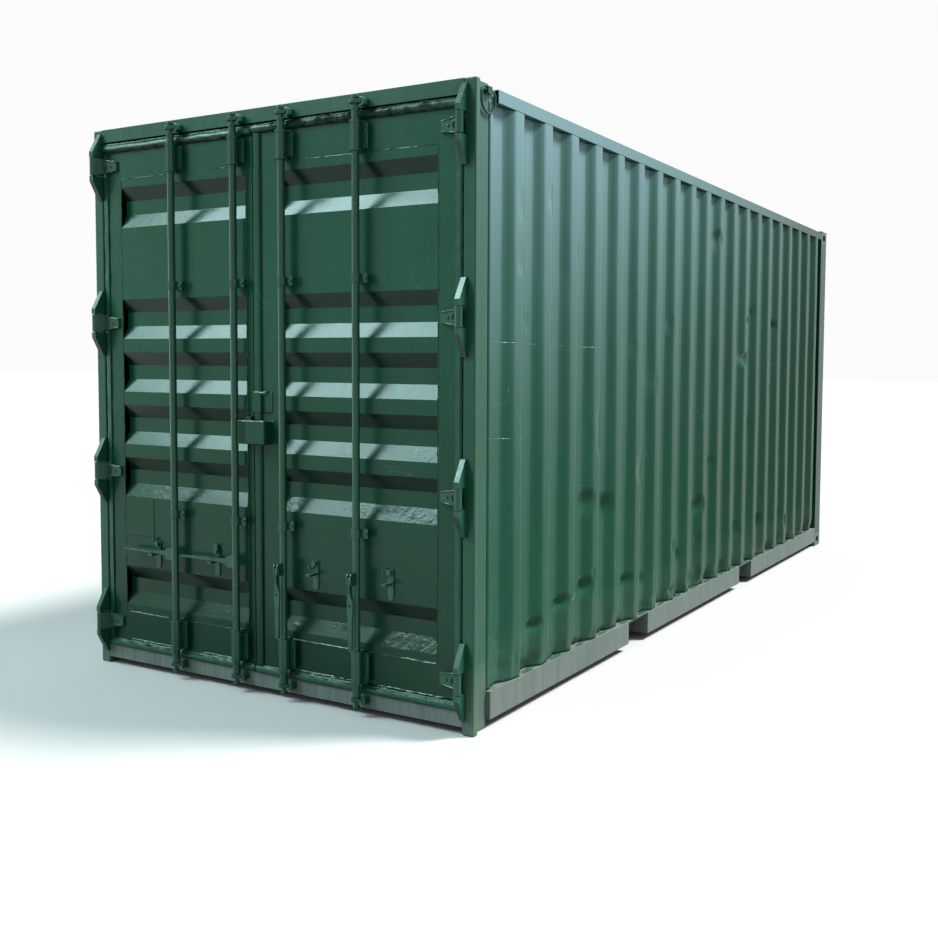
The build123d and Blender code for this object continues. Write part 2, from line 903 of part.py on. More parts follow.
def bar_clamp(x, z):
    """Short clamp round the middle of a bar, with one bolted ear on its right."""
    low = z - clamp_height / 2
    high = z + clamp_height / 2
    ear_back = clamp_front + flange_plate
    clamp = prism_z(x, bar_y, low, high, clamp_radius, guide_sides)
    clamp += block(x - guide_foot / 2, x + guide_foot / 2, bar_y, leaf_face, low, high)
    clamp += block(x, x + clamp_reach, clamp_front, ear_back, low, high)
    clamp += block(x + guide_foot / 2, x + clamp_pad, ear_back, leaf_face, low, high)
    clamp += bolt_head(x + clamp_bolt, clamp_front, z)
    return clamp - bar_bore(x, low, high)


def guides(places):
    """All guides and clamps of one leaf."""
    shapes = []
    for x in places:
        shapes.append(bar_guide(x, leaf_bottom + guide_rises[0], leaf_bottom + guide_rises[1]))
        shapes.append(bar_guide(x, leaf_top - guide_drops[0], leaf_top - guide_drops[1]))
        shapes.append(bar_clamp(x, leaf_bottom + clamp_rise))
        shapes.append(bar_clamp(x, leaf_top - clamp_drop))
    return group(shapes)


# Handle catches
def catch_seat(x, side_sign):
    """Long plate with a shelf for the handle and the headed pin for the swivel lug."""
    centre = x + side_sign * catch_offset
    face = leaf_face - catch_plate
    length = catch_top - catch_bottom
    middle = (catch_top + catch_bottom) / 2
    seat = Pos(centre, leaf_face, middle) * Rot(90, 0, 0) * Rot(0, 0, 90) * extrude(
        SlotOverall(length, catch_width), catch_plate
    )
    half_shelf = catch_width / 2 - shelf_inset
    shelf_top = handle_z - handle_plate / 2 - shelf_gap
    seat += block(
        centre - half_shelf, centre + half_shelf, face - shelf_reach, face, shelf_top - shelf_thickness, shelf_top
    )
    pin_z = catch_top - catch_width / 2
    head_back = face - catch_lug_plate - catch_pin_gap
    seat += rod_y(centre, pin_z, head_back, face, catch_pin_radius)
    return seat + rod_y(centre, pin_z, head_back - catch_pin_head_height, head_back, catch_pin_head)


def catch_lug(x, side_sign, angle):
    """Swivel lug of a catch: an eye, a short arm and a thicker paddle at its end."""
    centre = x + side_sign * catch_offset
    half = catch_lug_width / 2
    cut = half - catch_lug_corner
    reach = catch_lug_length - half
    end = reach + catch_paddle
    outline = [(end, -half), (end, half), (-cut, half), (-half, cut), (-half, -cut), (-cut, -half)]
    arm = front(outline, -catch_lug_plate, 0)
    arm += block(reach, end, -catch_paddle_reach, 0, -half, half)
    arm -= rod_y(0, 0, -catch_lug_plate, 0, catch_pin_radius + pin_clearance)
    place = Pos(centre, leaf_face - catch_plate - catch_lug_gap, catch_top - catch_width / 2)
    return place * Rot(0, -angle, 0) * arm


# Lock box and plates
def lock_half(x0, x1, inner0, inner1):
    """Half of a hood of welded plate, open below, towards the door and towards the other half."""
    shell = block(x0, x1, lock_front, leaf_face, lock_bottom, lock_top)
    return shell - block(
        inner0, inner1, lock_front + lock_wall, leaf_face, lock_bottom, lock_top - lock_wall
    )


def lock_box_right():
    """Larger half of the lock box, welded to the right leaf over its overlap bead."""
    x0 = leaf_gap_centre + lock_slit / 2
    half = lock_half(x0, lock_right, x0, lock_right - lock_wall)
    return half - block(gap_right, gap_right + bead_width, leaf_face - bead_depth, leaf_face, lock_bottom, lock_top)


def lock_box_left():
    """Smaller half of the lock box, with the slab behind it that stands up from the left leaf."""
    x1 = leaf_gap_centre - lock_slit / 2
    half = lock_half(lock_left, x1, lock_left + lock_wall, x1)
    slab_top = lock_top + lock_slab_rise
    return half + block(lock_left, x1, lock_slab_front, leaf_face, slab_top - lock_slab_height, slab_top)


def bead_cover():
    """Thin plate folded over the bead above the lock box."""
    front_y = leaf_face - bead_depth - cover_plate
    bead_end = gap_right + bead_width
    low = leaf_bottom + cover_rise
    high = low + cover_height
    outline = [
        (cover_left, front_y),
        (bead_end + cover_plate, front_y),
        (bead_end + cover_plate, leaf_face - cover_plate),
        (cover_right, leaf_face - cover_plate),
        (cover_right, leaf_face),
        (bead_end, leaf_face),
        (bead_end, front_y + cover_plate),
        (cover_left, front_y + cover_plate),
    ]
    return plan(outline, low, high)


# Lifting rings
def ring_lug():
    """Lug on the side of the right post, bored for the straight side of the lifting ring."""
    low = ring_y - ring_lug_width / 2
    high = ring_y + ring_lug_width / 2
    lug = block(
        half_width - post_recess,
        half_width,
        low,
        high,
        ring_z - ring_lug_height / 2,
        ring_z + ring_lug_height / 2,
    )
    return lug - rod_y(half_width - ring_offset, ring_z, low, high, ring_rod + ring_clearance)


def lifting_ring():
    """D-shaped ring of bar, hanging flat against the container's side from its straight top."""
    x = half_width - ring_offset
    half = ring_width / 2
    flat = half - ring_bend
    leg_top = ring_z - ring_bend
    bow_z = ring_z - ring_length + half
    path = [(x, ring_y, ring_z), (x, ring_y + flat, ring_z), (x, ring_y + half, leg_top)]
    for step in range(ring_steps + 1):
        angle = radians(180 * step / ring_steps)
        path.append((x, ring_y + half * cos(angle), bow_z - half * sin(angle)))
    path += [(x, ring_y - half, leg_top), (x, ring_y - flat, ring_z), (x, ring_y - flat / 2, ring_z)]
    section = RegularPolygon(ring_rod, ring_sides)
    start = Plane((x, ring_y, ring_z), x_dir=(1, 0, 0), z_dir=(0, 1, 0))
    loop = sweep(start * section, path=Polyline(*path), transition=Transition.RIGHT)
    return loop + extrude(start * section, -flat / 2)


nodes = {}


def keep(name, shape):
    """Collects a node under its name."""
    nodes[name] = shape


def keep_pair(name, shape):
    """Collects a piece of the right side and its mirror image."""
    keep(f"{name}_right", shape)
    keep(f"{name}_left", mirrored(shape))


keep_pair("door_post", door_post())
keep("door_sill", door_sill())
keep("door_header", door_header())
keep_pair("bottom_rail", bottom_rail())
keep_pair("top_rail", top_rail())
keep_pair("side_wall", side_wall())
keep("end_wall", end_wall())
keep("roof", roof())
keep("fork_pockets", group(fork_pocket(centre) for centre in pocket_centres))
keep("cross_members", cross_members())
keep("floor", block(-cross_reach, cross_reach, sill_depth, casting_start, floor_bottom, rail_top))
for right, side_name in ((True, "right"), (False, "left")):
    keep(f"corner_castings_{side_name}", group([corner_casting(right, True), corner_casting(right, False)]))
keep("rear_posts", group([rear_post(), mirrored(rear_post())]))
keep("rear_rails", group([rear_rail(rail_bottom, casting_height), rear_header()]))

keep("leaf_frame_left", leaf_frame(-leaf_side, gap_left, hinge_stile, left_lock_stile))
keep("leaf_frame_right", leaf_frame(gap_right, leaf_side, right_lock_stile, hinge_stile))
keep("leaf_panel_left", leaf_panel(-leaf_side + hinge_stile, gap_left - left_lock_stile))
keep("leaf_panel_right", leaf_panel(gap_right + right_lock_stile, leaf_side - hinge_stile))
keep("seal_left", door_seal(-leaf_side, gap_left, seal_side_width, 0, seal_tube_rise_left))
keep("seal_right", door_seal(gap_right, leaf_side, 0, seal_side_width, seal_tube_rise_right))
keep("overlap_bead", overlap_bead())

keep_pair("hinge_blades", group(hinge_blade(z) for z in hinge_heights))
keep_pair("hinge_lugs", group(hinge_lugs(z) for z in hinge_heights))
keep("bar_guides_left", guides(bar_x[:2]))
keep("bar_guides_right", guides(bar_x[2:]))
keep("cam_keepers_bottom", group(cam_keeper(x, cam_low + cam_height / 2) for x in bar_x))
keep("cam_keepers_top", group(cam_keeper(x, cam_high + cam_height / 2) for x in bar_x))
for index, x in enumerate(bar_x):
    right = index > 1
    sign = 1 if right else -1
    number = index + 1
    keep(f"locking_bar_{number}", locking_bar(x, -90 if right else 180))
    keep(f"bar_cams_{number}", bar_cams(x))
    keep(f"handle_{number}", handle(x, sign, right))
    keep(f"catch_lug_{number}", catch_lug(x, sign, catch_angles[index]))
keep("catch_seats_left", group(catch_seat(x, -1) for x in bar_x[:2]))
keep("catch_seats_right", group(catch_seat(x, 1) for x in bar_x[2:]))
keep("lock_box_left", lock_box_left())
keep("lock_box_right", lock_box_right())
keep("bead_cover", bead_cover())
plate_left = -leaf_side + plate_inset
plate_low = leaf_bottom + plate_rise
keep(
    "blank_plate",
    block(
        plate_left,
        plate_left + plate_width,
        leaf_face - blank_plate,
        leaf_face,
        plate_low,
        plate_low + plate_height,
    ),
)
keep("ring_lugs", group([ring_lug(), mirrored(ring_lug())]))
keep_pair("lifting_ring", lifting_ring())

for name, shape in nodes.items():
    export_step(Pos(0, -middle_y, 0) * shape, f"parts/{name}.step")
print(len(nodes), "nodes, door face at y =", round(-middle_y, 3))
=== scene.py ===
# %% [markdown]
# A green freight container, painted by hand over old steel. The measured model is loaded as a fixed
# frame. This script then gives every surface its finish and adds what a measured model leaves out:
# dents, soft paint edges, bolts, weld beads, dust and scratches.

# %% Load the frame
import json
import math
import random

import bmesh
import bpy
from mathutils import Matrix, Vector, noise

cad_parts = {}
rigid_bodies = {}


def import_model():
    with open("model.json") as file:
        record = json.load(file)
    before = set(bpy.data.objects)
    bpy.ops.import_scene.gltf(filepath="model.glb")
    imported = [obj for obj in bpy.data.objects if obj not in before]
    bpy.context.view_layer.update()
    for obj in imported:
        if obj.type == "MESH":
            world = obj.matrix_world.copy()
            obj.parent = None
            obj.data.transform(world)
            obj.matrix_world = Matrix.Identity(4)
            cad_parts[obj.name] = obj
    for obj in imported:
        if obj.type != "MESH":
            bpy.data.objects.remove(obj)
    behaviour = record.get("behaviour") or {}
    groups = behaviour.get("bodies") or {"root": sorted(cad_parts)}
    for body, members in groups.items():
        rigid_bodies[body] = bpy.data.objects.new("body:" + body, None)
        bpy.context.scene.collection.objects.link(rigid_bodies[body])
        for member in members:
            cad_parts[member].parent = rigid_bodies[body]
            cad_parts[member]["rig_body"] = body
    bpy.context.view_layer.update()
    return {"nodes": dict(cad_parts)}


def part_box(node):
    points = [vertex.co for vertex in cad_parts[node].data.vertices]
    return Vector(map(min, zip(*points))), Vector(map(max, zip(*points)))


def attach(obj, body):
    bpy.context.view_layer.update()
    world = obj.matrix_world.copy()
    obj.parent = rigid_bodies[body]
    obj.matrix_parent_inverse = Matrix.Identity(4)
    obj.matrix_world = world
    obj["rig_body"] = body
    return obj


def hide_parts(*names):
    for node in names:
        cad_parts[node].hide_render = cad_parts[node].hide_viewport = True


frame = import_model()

scene = bpy.context.scene

# %% [markdown]
# Every length below is in metres, in the container's own frame: X runs along the doors, Y from the
# doors into the box, Z up. The places that many pieces share are read from the frame once, so that
# they follow the measured model. The face of the leaves lies just behind the front of the posts.

# %% Shared places
wall_low, wall_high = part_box("side_wall_right")
post_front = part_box("door_post_right")[0].y
face_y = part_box("leaf_frame_right")[0].y
half_width = wall_high.x
print("door face at y", round(face_y, 3), "and half width", round(half_width, 3))

# %% [markdown]
# Shader nodes can be placed and wired one line at a time, but a recipe written so is hard to follow.
# One small helper adds a node instead. An input that is a socket gets a link, and anything else is
# set as that socket's value, so each recipe below reads like a list of steps.

# %% Helper for shader nodes
def add(tree, kind, inputs=None, **settings):
    """Adds one shader node, sets its options and fills or links its inputs."""
    made = tree.nodes.new("ShaderNode" + kind)
    for key, value in settings.items():
        setattr(made, key, value)
    for key, value in (inputs or {}).items():
        if isinstance(value, bpy.types.NodeSocket):
            tree.links.new(value, made.inputs[key])
        else:
            made.inputs[key].default_value = value
    return made


print("node helper ready")

# %% [markdown]
# A mask is worked out with plain arithmetic: products switch it on where all their parts are on, sums
# pile effects up, and a stretch turns a soft noise into a clearer edge.

# %% Helpers for arithmetic
def calc(tree, operation, first, second=0.0, clamp=False):
    """One arithmetic step; gives back the result's socket."""
    return add(tree, "Math", {0: first, 1: second}, operation=operation, use_clamp=clamp).outputs[0]


def product(tree, first, *others):
    """Multiplies values one after another."""
    for value in others:
        first = calc(tree, "MULTIPLY", first, value)
    return first


def total(tree, first, *others):
    """Adds values one after another."""
    for value in others:
        first = calc(tree, "ADD", first, value)
    return first


def between(tree, value, low, high, to_low=0.0, to_high=1.0):
    """Stretches a value from one range to another and stops at the ends."""
    inputs = {"Value": value, "From Min": low, "From Max": high, "To Min": to_low, "To Max": to_high}
    return add(tree, "MapRange", inputs).outputs["Result"]


print("arithmetic ready")

# %% [markdown]
# Every pattern starts from the same few sources: noise over the piece's own coordinates, the height
# or the length along the box, and the way a surface faces. These coordinates belong to the mesh, so
# a pattern stays on its piece when a door swings.

# %% Helpers for patterns
def blend_colours(tree, share, first, second, mode="MIX"):
    """Mixes two colours by a share."""
    made = add(tree, "Mix", {0: share}, data_type="RGBA", blend_type=mode)
    for socket, value in ((made.inputs[6], first), (made.inputs[7], second)):
        if isinstance(value, bpy.types.NodeSocket):
            tree.links.new(value, socket)
        else:
            socket.default_value = value
    return made.outputs[2]


def grain(tree, scale, stretch=(1, 1, 1), detail=3.0, roughness=0.55, distortion=0.0):
    """Noise over the piece's own coordinates, drawn out along an axis where stretch is small."""
    place = add(tree, "TexCoord").outputs["Object"]
    if stretch != (1, 1, 1):
        place = add(tree, "Mapping", {"Vector": place, "Scale": stretch}).outputs["Vector"]
    inputs = {"Vector": place, "Scale": scale, "Detail": detail, "Roughness": roughness}
    return add(tree, "TexNoise", {**inputs, "Distortion": distortion}).outputs["Fac"]


def place_along(tree, axis):
    """The piece's own coordinate along one axis."""
    return add(tree, "SeparateXYZ", {0: add(tree, "TexCoord").outputs["Object"]}).outputs[axis]


def facing_along(tree, axis, output="Normal"):
    """How far the surface faces along one axis, from -1 to 1."""
    return add(tree, "SeparateXYZ", {0: add(tree, "NewGeometry").outputs[output]}).outputs[axis]


print("pattern helpers ready")

# %% [markdown]
# An effect that several finishes share is built once as a node group. Its sockets are named, so each
# finish can give it its own values.

# %% Helper for groups
def new_group(name, inputs, outputs):
    """Starts a shader node group with named sockets."""
    tree = bpy.data.node_groups.new(name, "ShaderNodeTree")
    for in_out, sockets in (("INPUT", inputs), ("OUTPUT", outputs)):
        for label, kind in sockets:
            tree.interface.new_socket(name=label, in_out=in_out, socket_type="NodeSocket" + kind)
    start = tree.nodes.new("NodeGroupInput")
    end = tree.nodes.new("NodeGroupOutput")
    return tree, start.outputs, end.inputs


print("group helper ready")

# %% [markdown]
# Brushed paint is never one colour. The group below fades it in broad clouds, draws faint upright
# runs where rain has washed it, and gives the surface a slight orange peel, brush marks and soft
# lumps. Low on the right leaf the paint has wrinkled in torn patches, which have a function of their
# own. All the heights are added up, so that one bump can show them together.

# %% Group: brushed paint
def torn_patches(tree):
    """Height of wrinkled paint, in patches on the lower slopes of the right leaf."""
    low_down = between(tree, place_along(tree, "Z"), 1.3, 0.9)
    where = between(tree, grain(tree, 4.2, detail=4.0), 0.50, 0.60)
    rising = between(tree, facing_along(tree, "Z", "True Normal"), 0.1, 0.3, 0.06, 1.0)
    right_leaf = between(tree, place_along(tree, "X"), -0.1, 0.1, 0.15, 1.0)
    wrinkles = grain(tree, 19.0, (1, 1, 1.6), detail=4.0, roughness=0.55, distortion=1.1)
    patch = product(tree, low_down, where, rising, right_leaf)
    return product(tree, between(tree, wrinkles, 0.35, 0.65), patch)


def build_brushed_paint():
    """Colour, roughness and height of old brushed gloss."""
    tree, given, result = new_group(
        "brushed_paint",
        [("Paint", "Color"), ("Faded", "Color"), ("Fade", "Float"), ("Runs", "Float"),
         ("Roughness", "Float"), ("Lumps", "Float"), ("Wrinkles", "Float")],
        [("Colour", "Color"), ("Roughness", "Float"), ("Height", "Float")],
    )
    clouds = between(tree, grain(tree, 0.9, detail=4.0), 0.38, 0.64)
    colour = blend_colours(tree, product(tree, clouds, given["Fade"]), given["Paint"], given["Faded"])
    runs = between(tree, grain(tree, 1.0, (26, 26, 1.1), detail=6.0, roughness=0.65), 0.3, 0.7, -1.0, 1.0)
    runs = product(tree, runs, given["Runs"])
    fine = between(tree, grain(tree, 55.0), 0.3, 0.7, -0.05, 0.05)
    shade = total(tree, runs, fine, 1.0)
    grey = add(tree, "CombineColor", {0: shade, 1: shade, 2: shade}).outputs[0]
    tree.links.new(blend_colours(tree, 1.0, colour, grey, "MULTIPLY"), result["Colour"])
    rough = total(tree, given["Roughness"], product(tree, runs, 0.5), product(tree, clouds, 0.06))
    tree.links.new(rough, result["Roughness"])
    lumps = product(tree, grain(tree, 11.0, detail=3.0), given["Lumps"])
    peel = product(tree, grain(tree, 210.0, detail=2.0), 0.07)
    brush = product(tree, grain(tree, 1.0, (240, 240, 14), detail=2.0), 0.05)
    torn = product(tree, torn_patches(tree), given["Wrinkles"], 1.7)
    tree.links.new(total(tree, lumps, total(tree, peel, brush), torn), result["Height"])
    return tree


brushed_paint = build_brushed_paint()
print("group", brushed_paint.name)

# %% [markdown]
# Light and shade are painted into the colour by height and direction, not by piece. A pale painted sky sheen
# lies on the top of the long wall, most of all near the doors and on the faces turned straight out, and
# painted shade darkens the far end. Painted shade also darkens the foot of the doors and the slopes that
# face down. One group reads the surface's place and direction for all of these.

# %% Painted light and shade
# The pale green is a painted sky sheen. The three dark greens are painted shade for the far end, the foot
# and the undersides.
SKY_SHEEN_GREEN = (0.20, 0.31, 0.345, 1)
FAR_SHADE_GREEN = (0.003, 0.034, 0.014, 1)
FOOT_SHADE_GREEN = (0.002, 0.020, 0.007, 1)
UNDERSIDE_SHADE_GREEN = (0.0005, 0.009, 0.004, 1)


def painted_light_and_shade(tree, given, colour, facing, height):
    """Paints a pale sky sheen on the top and painted shade at the far end, at the foot and on the
    undersides.
    """
    along = place_along(tree, "Y")
    # Painted shade: a deeper green towards the far end.
    far_shade = product(tree, between(tree, along, -2.4, 2.4, 0.0, 1.0), given["Sky sheen and far shade"])
    colour = blend_colours(tree, far_shade, colour, FAR_SHADE_GREEN)
    # Painted sky sheen: paler towards the top, most of all on faces turned straight out and near the doors.
    high = calc(tree, "POWER", between(tree, height, 0.5, 2.85), 2.2)
    turned = calc(tree, "ABSOLUTE", facing_along(tree, "X"))
    high = product(tree, high, between(tree, turned, 0.86, 0.97, 0.15, 1.0))
    high = product(tree, high, between(tree, along, -2.8, 2.6, 1.0, 0.12), given["Sky sheen and far shade"])
    colour = blend_colours(tree, high, colour, SKY_SHEEN_GREEN)
    # Painted shade: darker towards the foot.
    low = product(tree, between(tree, height, 2.0, 0.3), given["Foot shade"])
    colour = blend_colours(tree, low, colour, FOOT_SHADE_GREEN)
    # Painted shade on surfaces that face down.
    underside_share = product(tree, between(tree, facing, -0.3, -0.45), given["Underside shade"])
    return blend_colours(tree, underside_share, colour, UNDERSIDE_SHADE_GREEN)


print("weathering ready")

# %% [markdown]
# Dust settles on whatever faces up, and road dirt greys the foot of the box in upright streaks. Both lie
# over the paint and dull it, so they are mixed in last and raise the roughness too. Before them, the group
# paints light and shade into the colour.

# %% Group: dust and painted light
def build_dust_and_painted_light():
    """Paints light and shade into the colour, then greys up-facing ledges and the foot of a piece."""
    tree, given, result = new_group(
        "dust_and_painted_light",
        [("Colour", "Color"), ("Roughness", "Float"), ("Dust", "Color"), ("Ledge", "Float"),
         ("Foot", "Float"), ("Foot top", "Float"), ("Underside shade", "Float"), ("Sky sheen and far shade", "Float"),
         ("Foot shade", "Float")],
        [("Colour", "Color"), ("Roughness", "Float")],
    )
    facing = facing_along(tree, "Z")
    height = place_along(tree, "Z")
    patch = between(tree, grain(tree, 13.0, detail=7.0, roughness=0.62), 0.30, 0.72)
    ledge = product(tree, between(tree, facing, 0.55, 0.95), patch, given["Ledge"])
    low = calc(tree, "SUBTRACT", 1.0, calc(tree, "DIVIDE", height, given["Foot top"]), clamp=True)
    streak = between(tree, grain(tree, 1.0, (75, 75, 2.2), detail=5.0, roughness=0.7), 0.34, 0.66, 0.3, 1.0)
    foot = product(tree, calc(tree, "POWER", low, 0.45), streak, given["Foot"])
    foot = product(tree, foot, between(tree, facing, 0.35, 0.15))
    share = calc(tree, "MAXIMUM", ledge, foot, clamp=True)
    # Painted sky sheen and painted shade go in before the dust.
    colour = painted_light_and_shade(tree, given, given["Colour"], facing, height)
    tree.links.new(blend_colours(tree, share, colour, given["Dust"]), result["Colour"])
    matt = product(tree, share, calc(tree, "SUBTRACT", 0.85, given["Roughness"]))
    tree.links.new(total(tree, given["Roughness"], matt), result["Roughness"])
    return tree


dust_and_painted_light = build_dust_and_painted_light()
print("group", dust_and_painted_light.name)

# %% [markdown]
# Long thin scratches come from the narrow band where a stretched noise crosses its middle value. A
# second noise keeps them to a few patches. Rust shows as small brown spots.

# %% Group: scratches and rust
SCRATCH_COLOUR = (0.20, 0.30, 0.27, 1)
RUST_COLOUR = (0.10, 0.042, 0.020, 1)


def build_scratches():
    """Pale hairline scratches and small rust spots."""
    tree, given, result = new_group(
        "scratches_and_rust",
        [("Colour", "Color"), ("Roughness", "Float"), ("Scratches", "Float"), ("Rust", "Float")],
        [("Colour", "Color"), ("Roughness", "Float")],
    )
    wave = grain(tree, 1.0, (1.3, 1.3, 7.0), detail=1.0, distortion=1.2)
    middle = calc(tree, "ABSOLUTE", calc(tree, "SUBTRACT", wave, 0.5))
    hairline = between(tree, middle, 0.0008, 0.0022, 1.0, 0.0)
    where = between(tree, grain(tree, 2.3, detail=4.0), 0.56, 0.62)
    hairline = calc(tree, "MULTIPLY", product(tree, hairline, where), given["Scratches"], clamp=True)
    colour = blend_colours(tree, hairline, given["Colour"], SCRATCH_COLOUR)
    spot = between(tree, grain(tree, 38.0, detail=4.0, roughness=0.7), 0.70, 0.76)
    spot = product(tree, spot, between(tree, grain(tree, 3.1), 0.52, 0.6))
    spot = calc(tree, "MULTIPLY", spot, given["Rust"], clamp=True)
    tree.links.new(blend_colours(tree, spot, colour, RUST_COLOUR), result["Colour"])
    matt = product(tree, spot, 0.4)
    tree.links.new(calc(tree, "ADD", given["Roughness"], matt, clamp=True), result["Roughness"])
    return tree


scratches_and_rust = build_scratches()
print("group", scratches_and_rust.name)

# %% [markdown]
# All the green finishes are the same paint over different work: smooth on the doors, duller on the
# long walls, thick and lumpy on the seals, grey with road dirt on the rails. So one function chains
# the three groups, and each finish is a call with its own values.

# %% One painted finish
GREEN = (0.0085, 0.064, 0.034, 1)
FADED_GREEN = (0.014, 0.078, 0.046, 1)
DUST = (0.20, 0.205, 0.185, 1)


def painted(name, roughness, paint=GREEN, faded=FADED_GREEN, fade=0.6, runs=0.06, lumps=0.3, depth=0.0012,
            ledge=0.25, foot=0.0, foot_top=0.3, scratches=0.25, rust=0.15, gloss=0.25, dust=DUST, underside_shade=0.6,
            sky_sheen_and_far_shade=0.0, wrinkles=0.0, foot_shade=0.0):
    """A painted-steel material built from the shared groups."""
    material = bpy.data.materials.new(name)
    material.use_nodes = True
    tree = material.node_tree
    shader = tree.nodes["Principled BSDF"]
    shader.inputs["Specular IOR Level"].default_value = gloss
    values = {"Paint": paint, "Faded": faded, "Fade": fade, "Runs": runs, "Roughness": roughness,
              "Lumps": lumps, "Wrinkles": wrinkles}
    base = add(tree, "Group", values, node_tree=brushed_paint)
    values = {"Colour": base.outputs["Colour"], "Roughness": base.outputs["Roughness"],
              "Scratches": scratches, "Rust": rust}
    worn = add(tree, "Group", values, node_tree=scratches_and_rust)
    # The last group also paints light and shade into the colour.
    values = {"Colour": worn.outputs["Colour"], "Roughness": worn.outputs["Roughness"], "Dust": dust,
              "Ledge": ledge, "Foot": foot, "Foot top": foot_top, "Underside shade": underside_shade, "Sky sheen and far shade": sky_sheen_and_far_shade,
              "Foot shade": foot_shade}
    dusty = add(tree, "Group", values, node_tree=dust_and_painted_light)
    bump = add(tree, "Bump", {"Height": base.outputs["Height"], "Strength": 1.0, "Distance": depth})
    tree.links.new(dusty.outputs["Colour"], shader.inputs["Base Color"])
    tree.links.new(dusty.outputs["Roughness"], shader.inputs["Roughness"])
    tree.links.new(bump.outputs["Normal"], shader.inputs["Normal"])
    return material


print("paint recipe ready")

# %% [markdown]
# The doors have the smoothest paint, and their lower slopes mirror the light; painted shade darkens their
# foot. The long wall has a pale painted sky sheen at its top, the rails are grey with dirt, and the gear of
# bars and handles has its paint laid on thickly. Rubbed paint is the pale coat that shows in scratches, and
# along edges it stands for a painted highlight.

# %% Painted finishes
# Some values below paint light into the colour: a sky sheen with a darker far end, a darker foot and darker
# undersides.
door_paint = painted("door_paint", 0.20, lumps=0.5, depth=0.0016, runs=0.04, gloss=0.20, underside_shade=0.85,
                     wrinkles=1.0, foot_shade=0.75)
frame_paint = painted("frame_paint", 0.26, lumps=0.6, foot=0.55, foot_top=0.32, sky_sheen_and_far_shade=0.26)
wall_paint = painted("wall_paint", 0.27, lumps=0.5, runs=0.05, foot=0.15, foot_top=0.42, scratches=0.5,
                     sky_sheen_and_far_shade=0.90, gloss=0.12, underside_shade=0.12)
gear_paint = painted("gear_paint", 0.22, lumps=1.0, depth=0.0015, rust=0.5, gloss=0.35)
seal_paint = painted("seal_paint", 0.34, lumps=1.2, depth=0.003, rust=0.0, scratches=0.0)
roof_paint = painted("roof_paint", 0.42, ledge=0.42, rust=0.5, fade=0.9)
rail_paint = painted("rail_paint", 0.50, paint=(0.040, 0.082, 0.064, 1), faded=(0.085, 0.108, 0.095, 1),
                     fade=1.0, runs=0.3, foot=0.95, foot_top=0.75, dust=(0.17, 0.19, 0.175, 1), rust=0.6,
                     ledge=0.95)
# Pale paint for scratches, also used as a painted highlight along edges.
rubbed_paint_and_highlight = painted("rubbed_paint_and_highlight", 0.30, paint=(0.16, 0.26, 0.23, 1), faded=(0.26, 0.38, 0.34, 1),
                       rust=0.0, scratches=0.0, gloss=0.5, underside_shade=0.0)
print(len(bpy.data.materials), "materials so far")

# %% [markdown]
# The floor is worn plywood. Long grain runs along the box, darker where feet and forks have passed.

# %% Floor boards
def boards():
    """Plywood with grain along Y and dark stains."""
    material = bpy.data.materials.new("worn_plywood")
    material.use_nodes = True
    tree = material.node_tree
    shader = tree.nodes["Principled BSDF"]
    lines = grain(tree, 1.0, (34, 1.6, 34), detail=6.0, roughness=0.6, distortion=0.6)
    shade = between(tree, lines, 0.3, 0.7)
    colour = blend_colours(tree, shade, (0.20, 0.115, 0.058, 1), (0.34, 0.22, 0.125, 1))
    stain = between(tree, grain(tree, 1.6, detail=5.0), 0.42, 0.66)
    colour = blend_colours(tree, product(tree, stain, 0.6), colour, (0.10, 0.07, 0.045, 1))
    tree.links.new(colour, shader.inputs["Base Color"])
    tree.links.new(between(tree, stain, 0, 1, 0.55, 0.75), shader.inputs["Roughness"])
    bump = add(tree, "Bump", {"Height": lines, "Strength": 0.6, "Distance": 0.002})
    tree.links.new(bump.outputs["Normal"], shader.inputs["Normal"])
    return material


worn_plywood = boards()
print("material", worn_plywood.name)

# %% [markdown]
# Each measured piece keeps its shape and takes a finish from this list. A name stands for all the
# pieces that start with it, such as the left and right of a pair.

# %% Finishes of the measured pieces
finishes = {
    "door_post": frame_paint, "door_sill": rail_paint, "door_header": frame_paint, "bottom_rail": rail_paint,
    "top_rail": wall_paint, "side_wall": wall_paint, "end_wall": wall_paint, "roof": roof_paint,
    "fork_pocket": rail_paint, "cross_members": rail_paint, "floor": worn_plywood,
    "corner_castings": frame_paint, "rear_post": wall_paint, "rear_rail": frame_paint,
    "leaf_frame": door_paint, "leaf_panel": door_paint, "seal": seal_paint, "overlap_bead": door_paint,
    "hinge": gear_paint, "bar_guides": gear_paint, "cam_keepers": gear_paint, "bar_cams": gear_paint,
    "locking_bar": gear_paint, "handle": gear_paint, "catch": gear_paint, "lock_box": door_paint,
    "bead_cover": door_paint, "blank_plate": door_paint, "ring_lugs": gear_paint,
    "lifting_ring": gear_paint,
}
for name, piece in frame["nodes"].items():
    finish = next(value for key, value in finishes.items() if name.startswith(key))
    piece.data.materials.clear()
    piece.data.materials.append(finish)
print("finished", len(frame["nodes"]), "measured pieces")

# %% [markdown]
# A new piece is a mesh whose points are already in place, so its object stays at the origin. It then
# rides on a body and names the paint slot that it belongs to.

# %% Helper for new pieces
def as_piece(name, mesh_tool, material, body, smooth_angle=40.0):
    """Turns a bmesh into a finished object."""
    mesh = bpy.data.meshes.new(name)
    mesh_tool.to_mesh(mesh)
    mesh_tool.free()
    piece = bpy.data.objects.new(name, mesh)
    scene.collection.objects.link(piece)
    mesh.materials.append(material)
    for face in mesh.polygons:
        face.use_smooth = True
    mesh.set_sharp_from_angle(angle=math.radians(smooth_angle))
    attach(piece, body)
    return piece


print("piece helper ready")

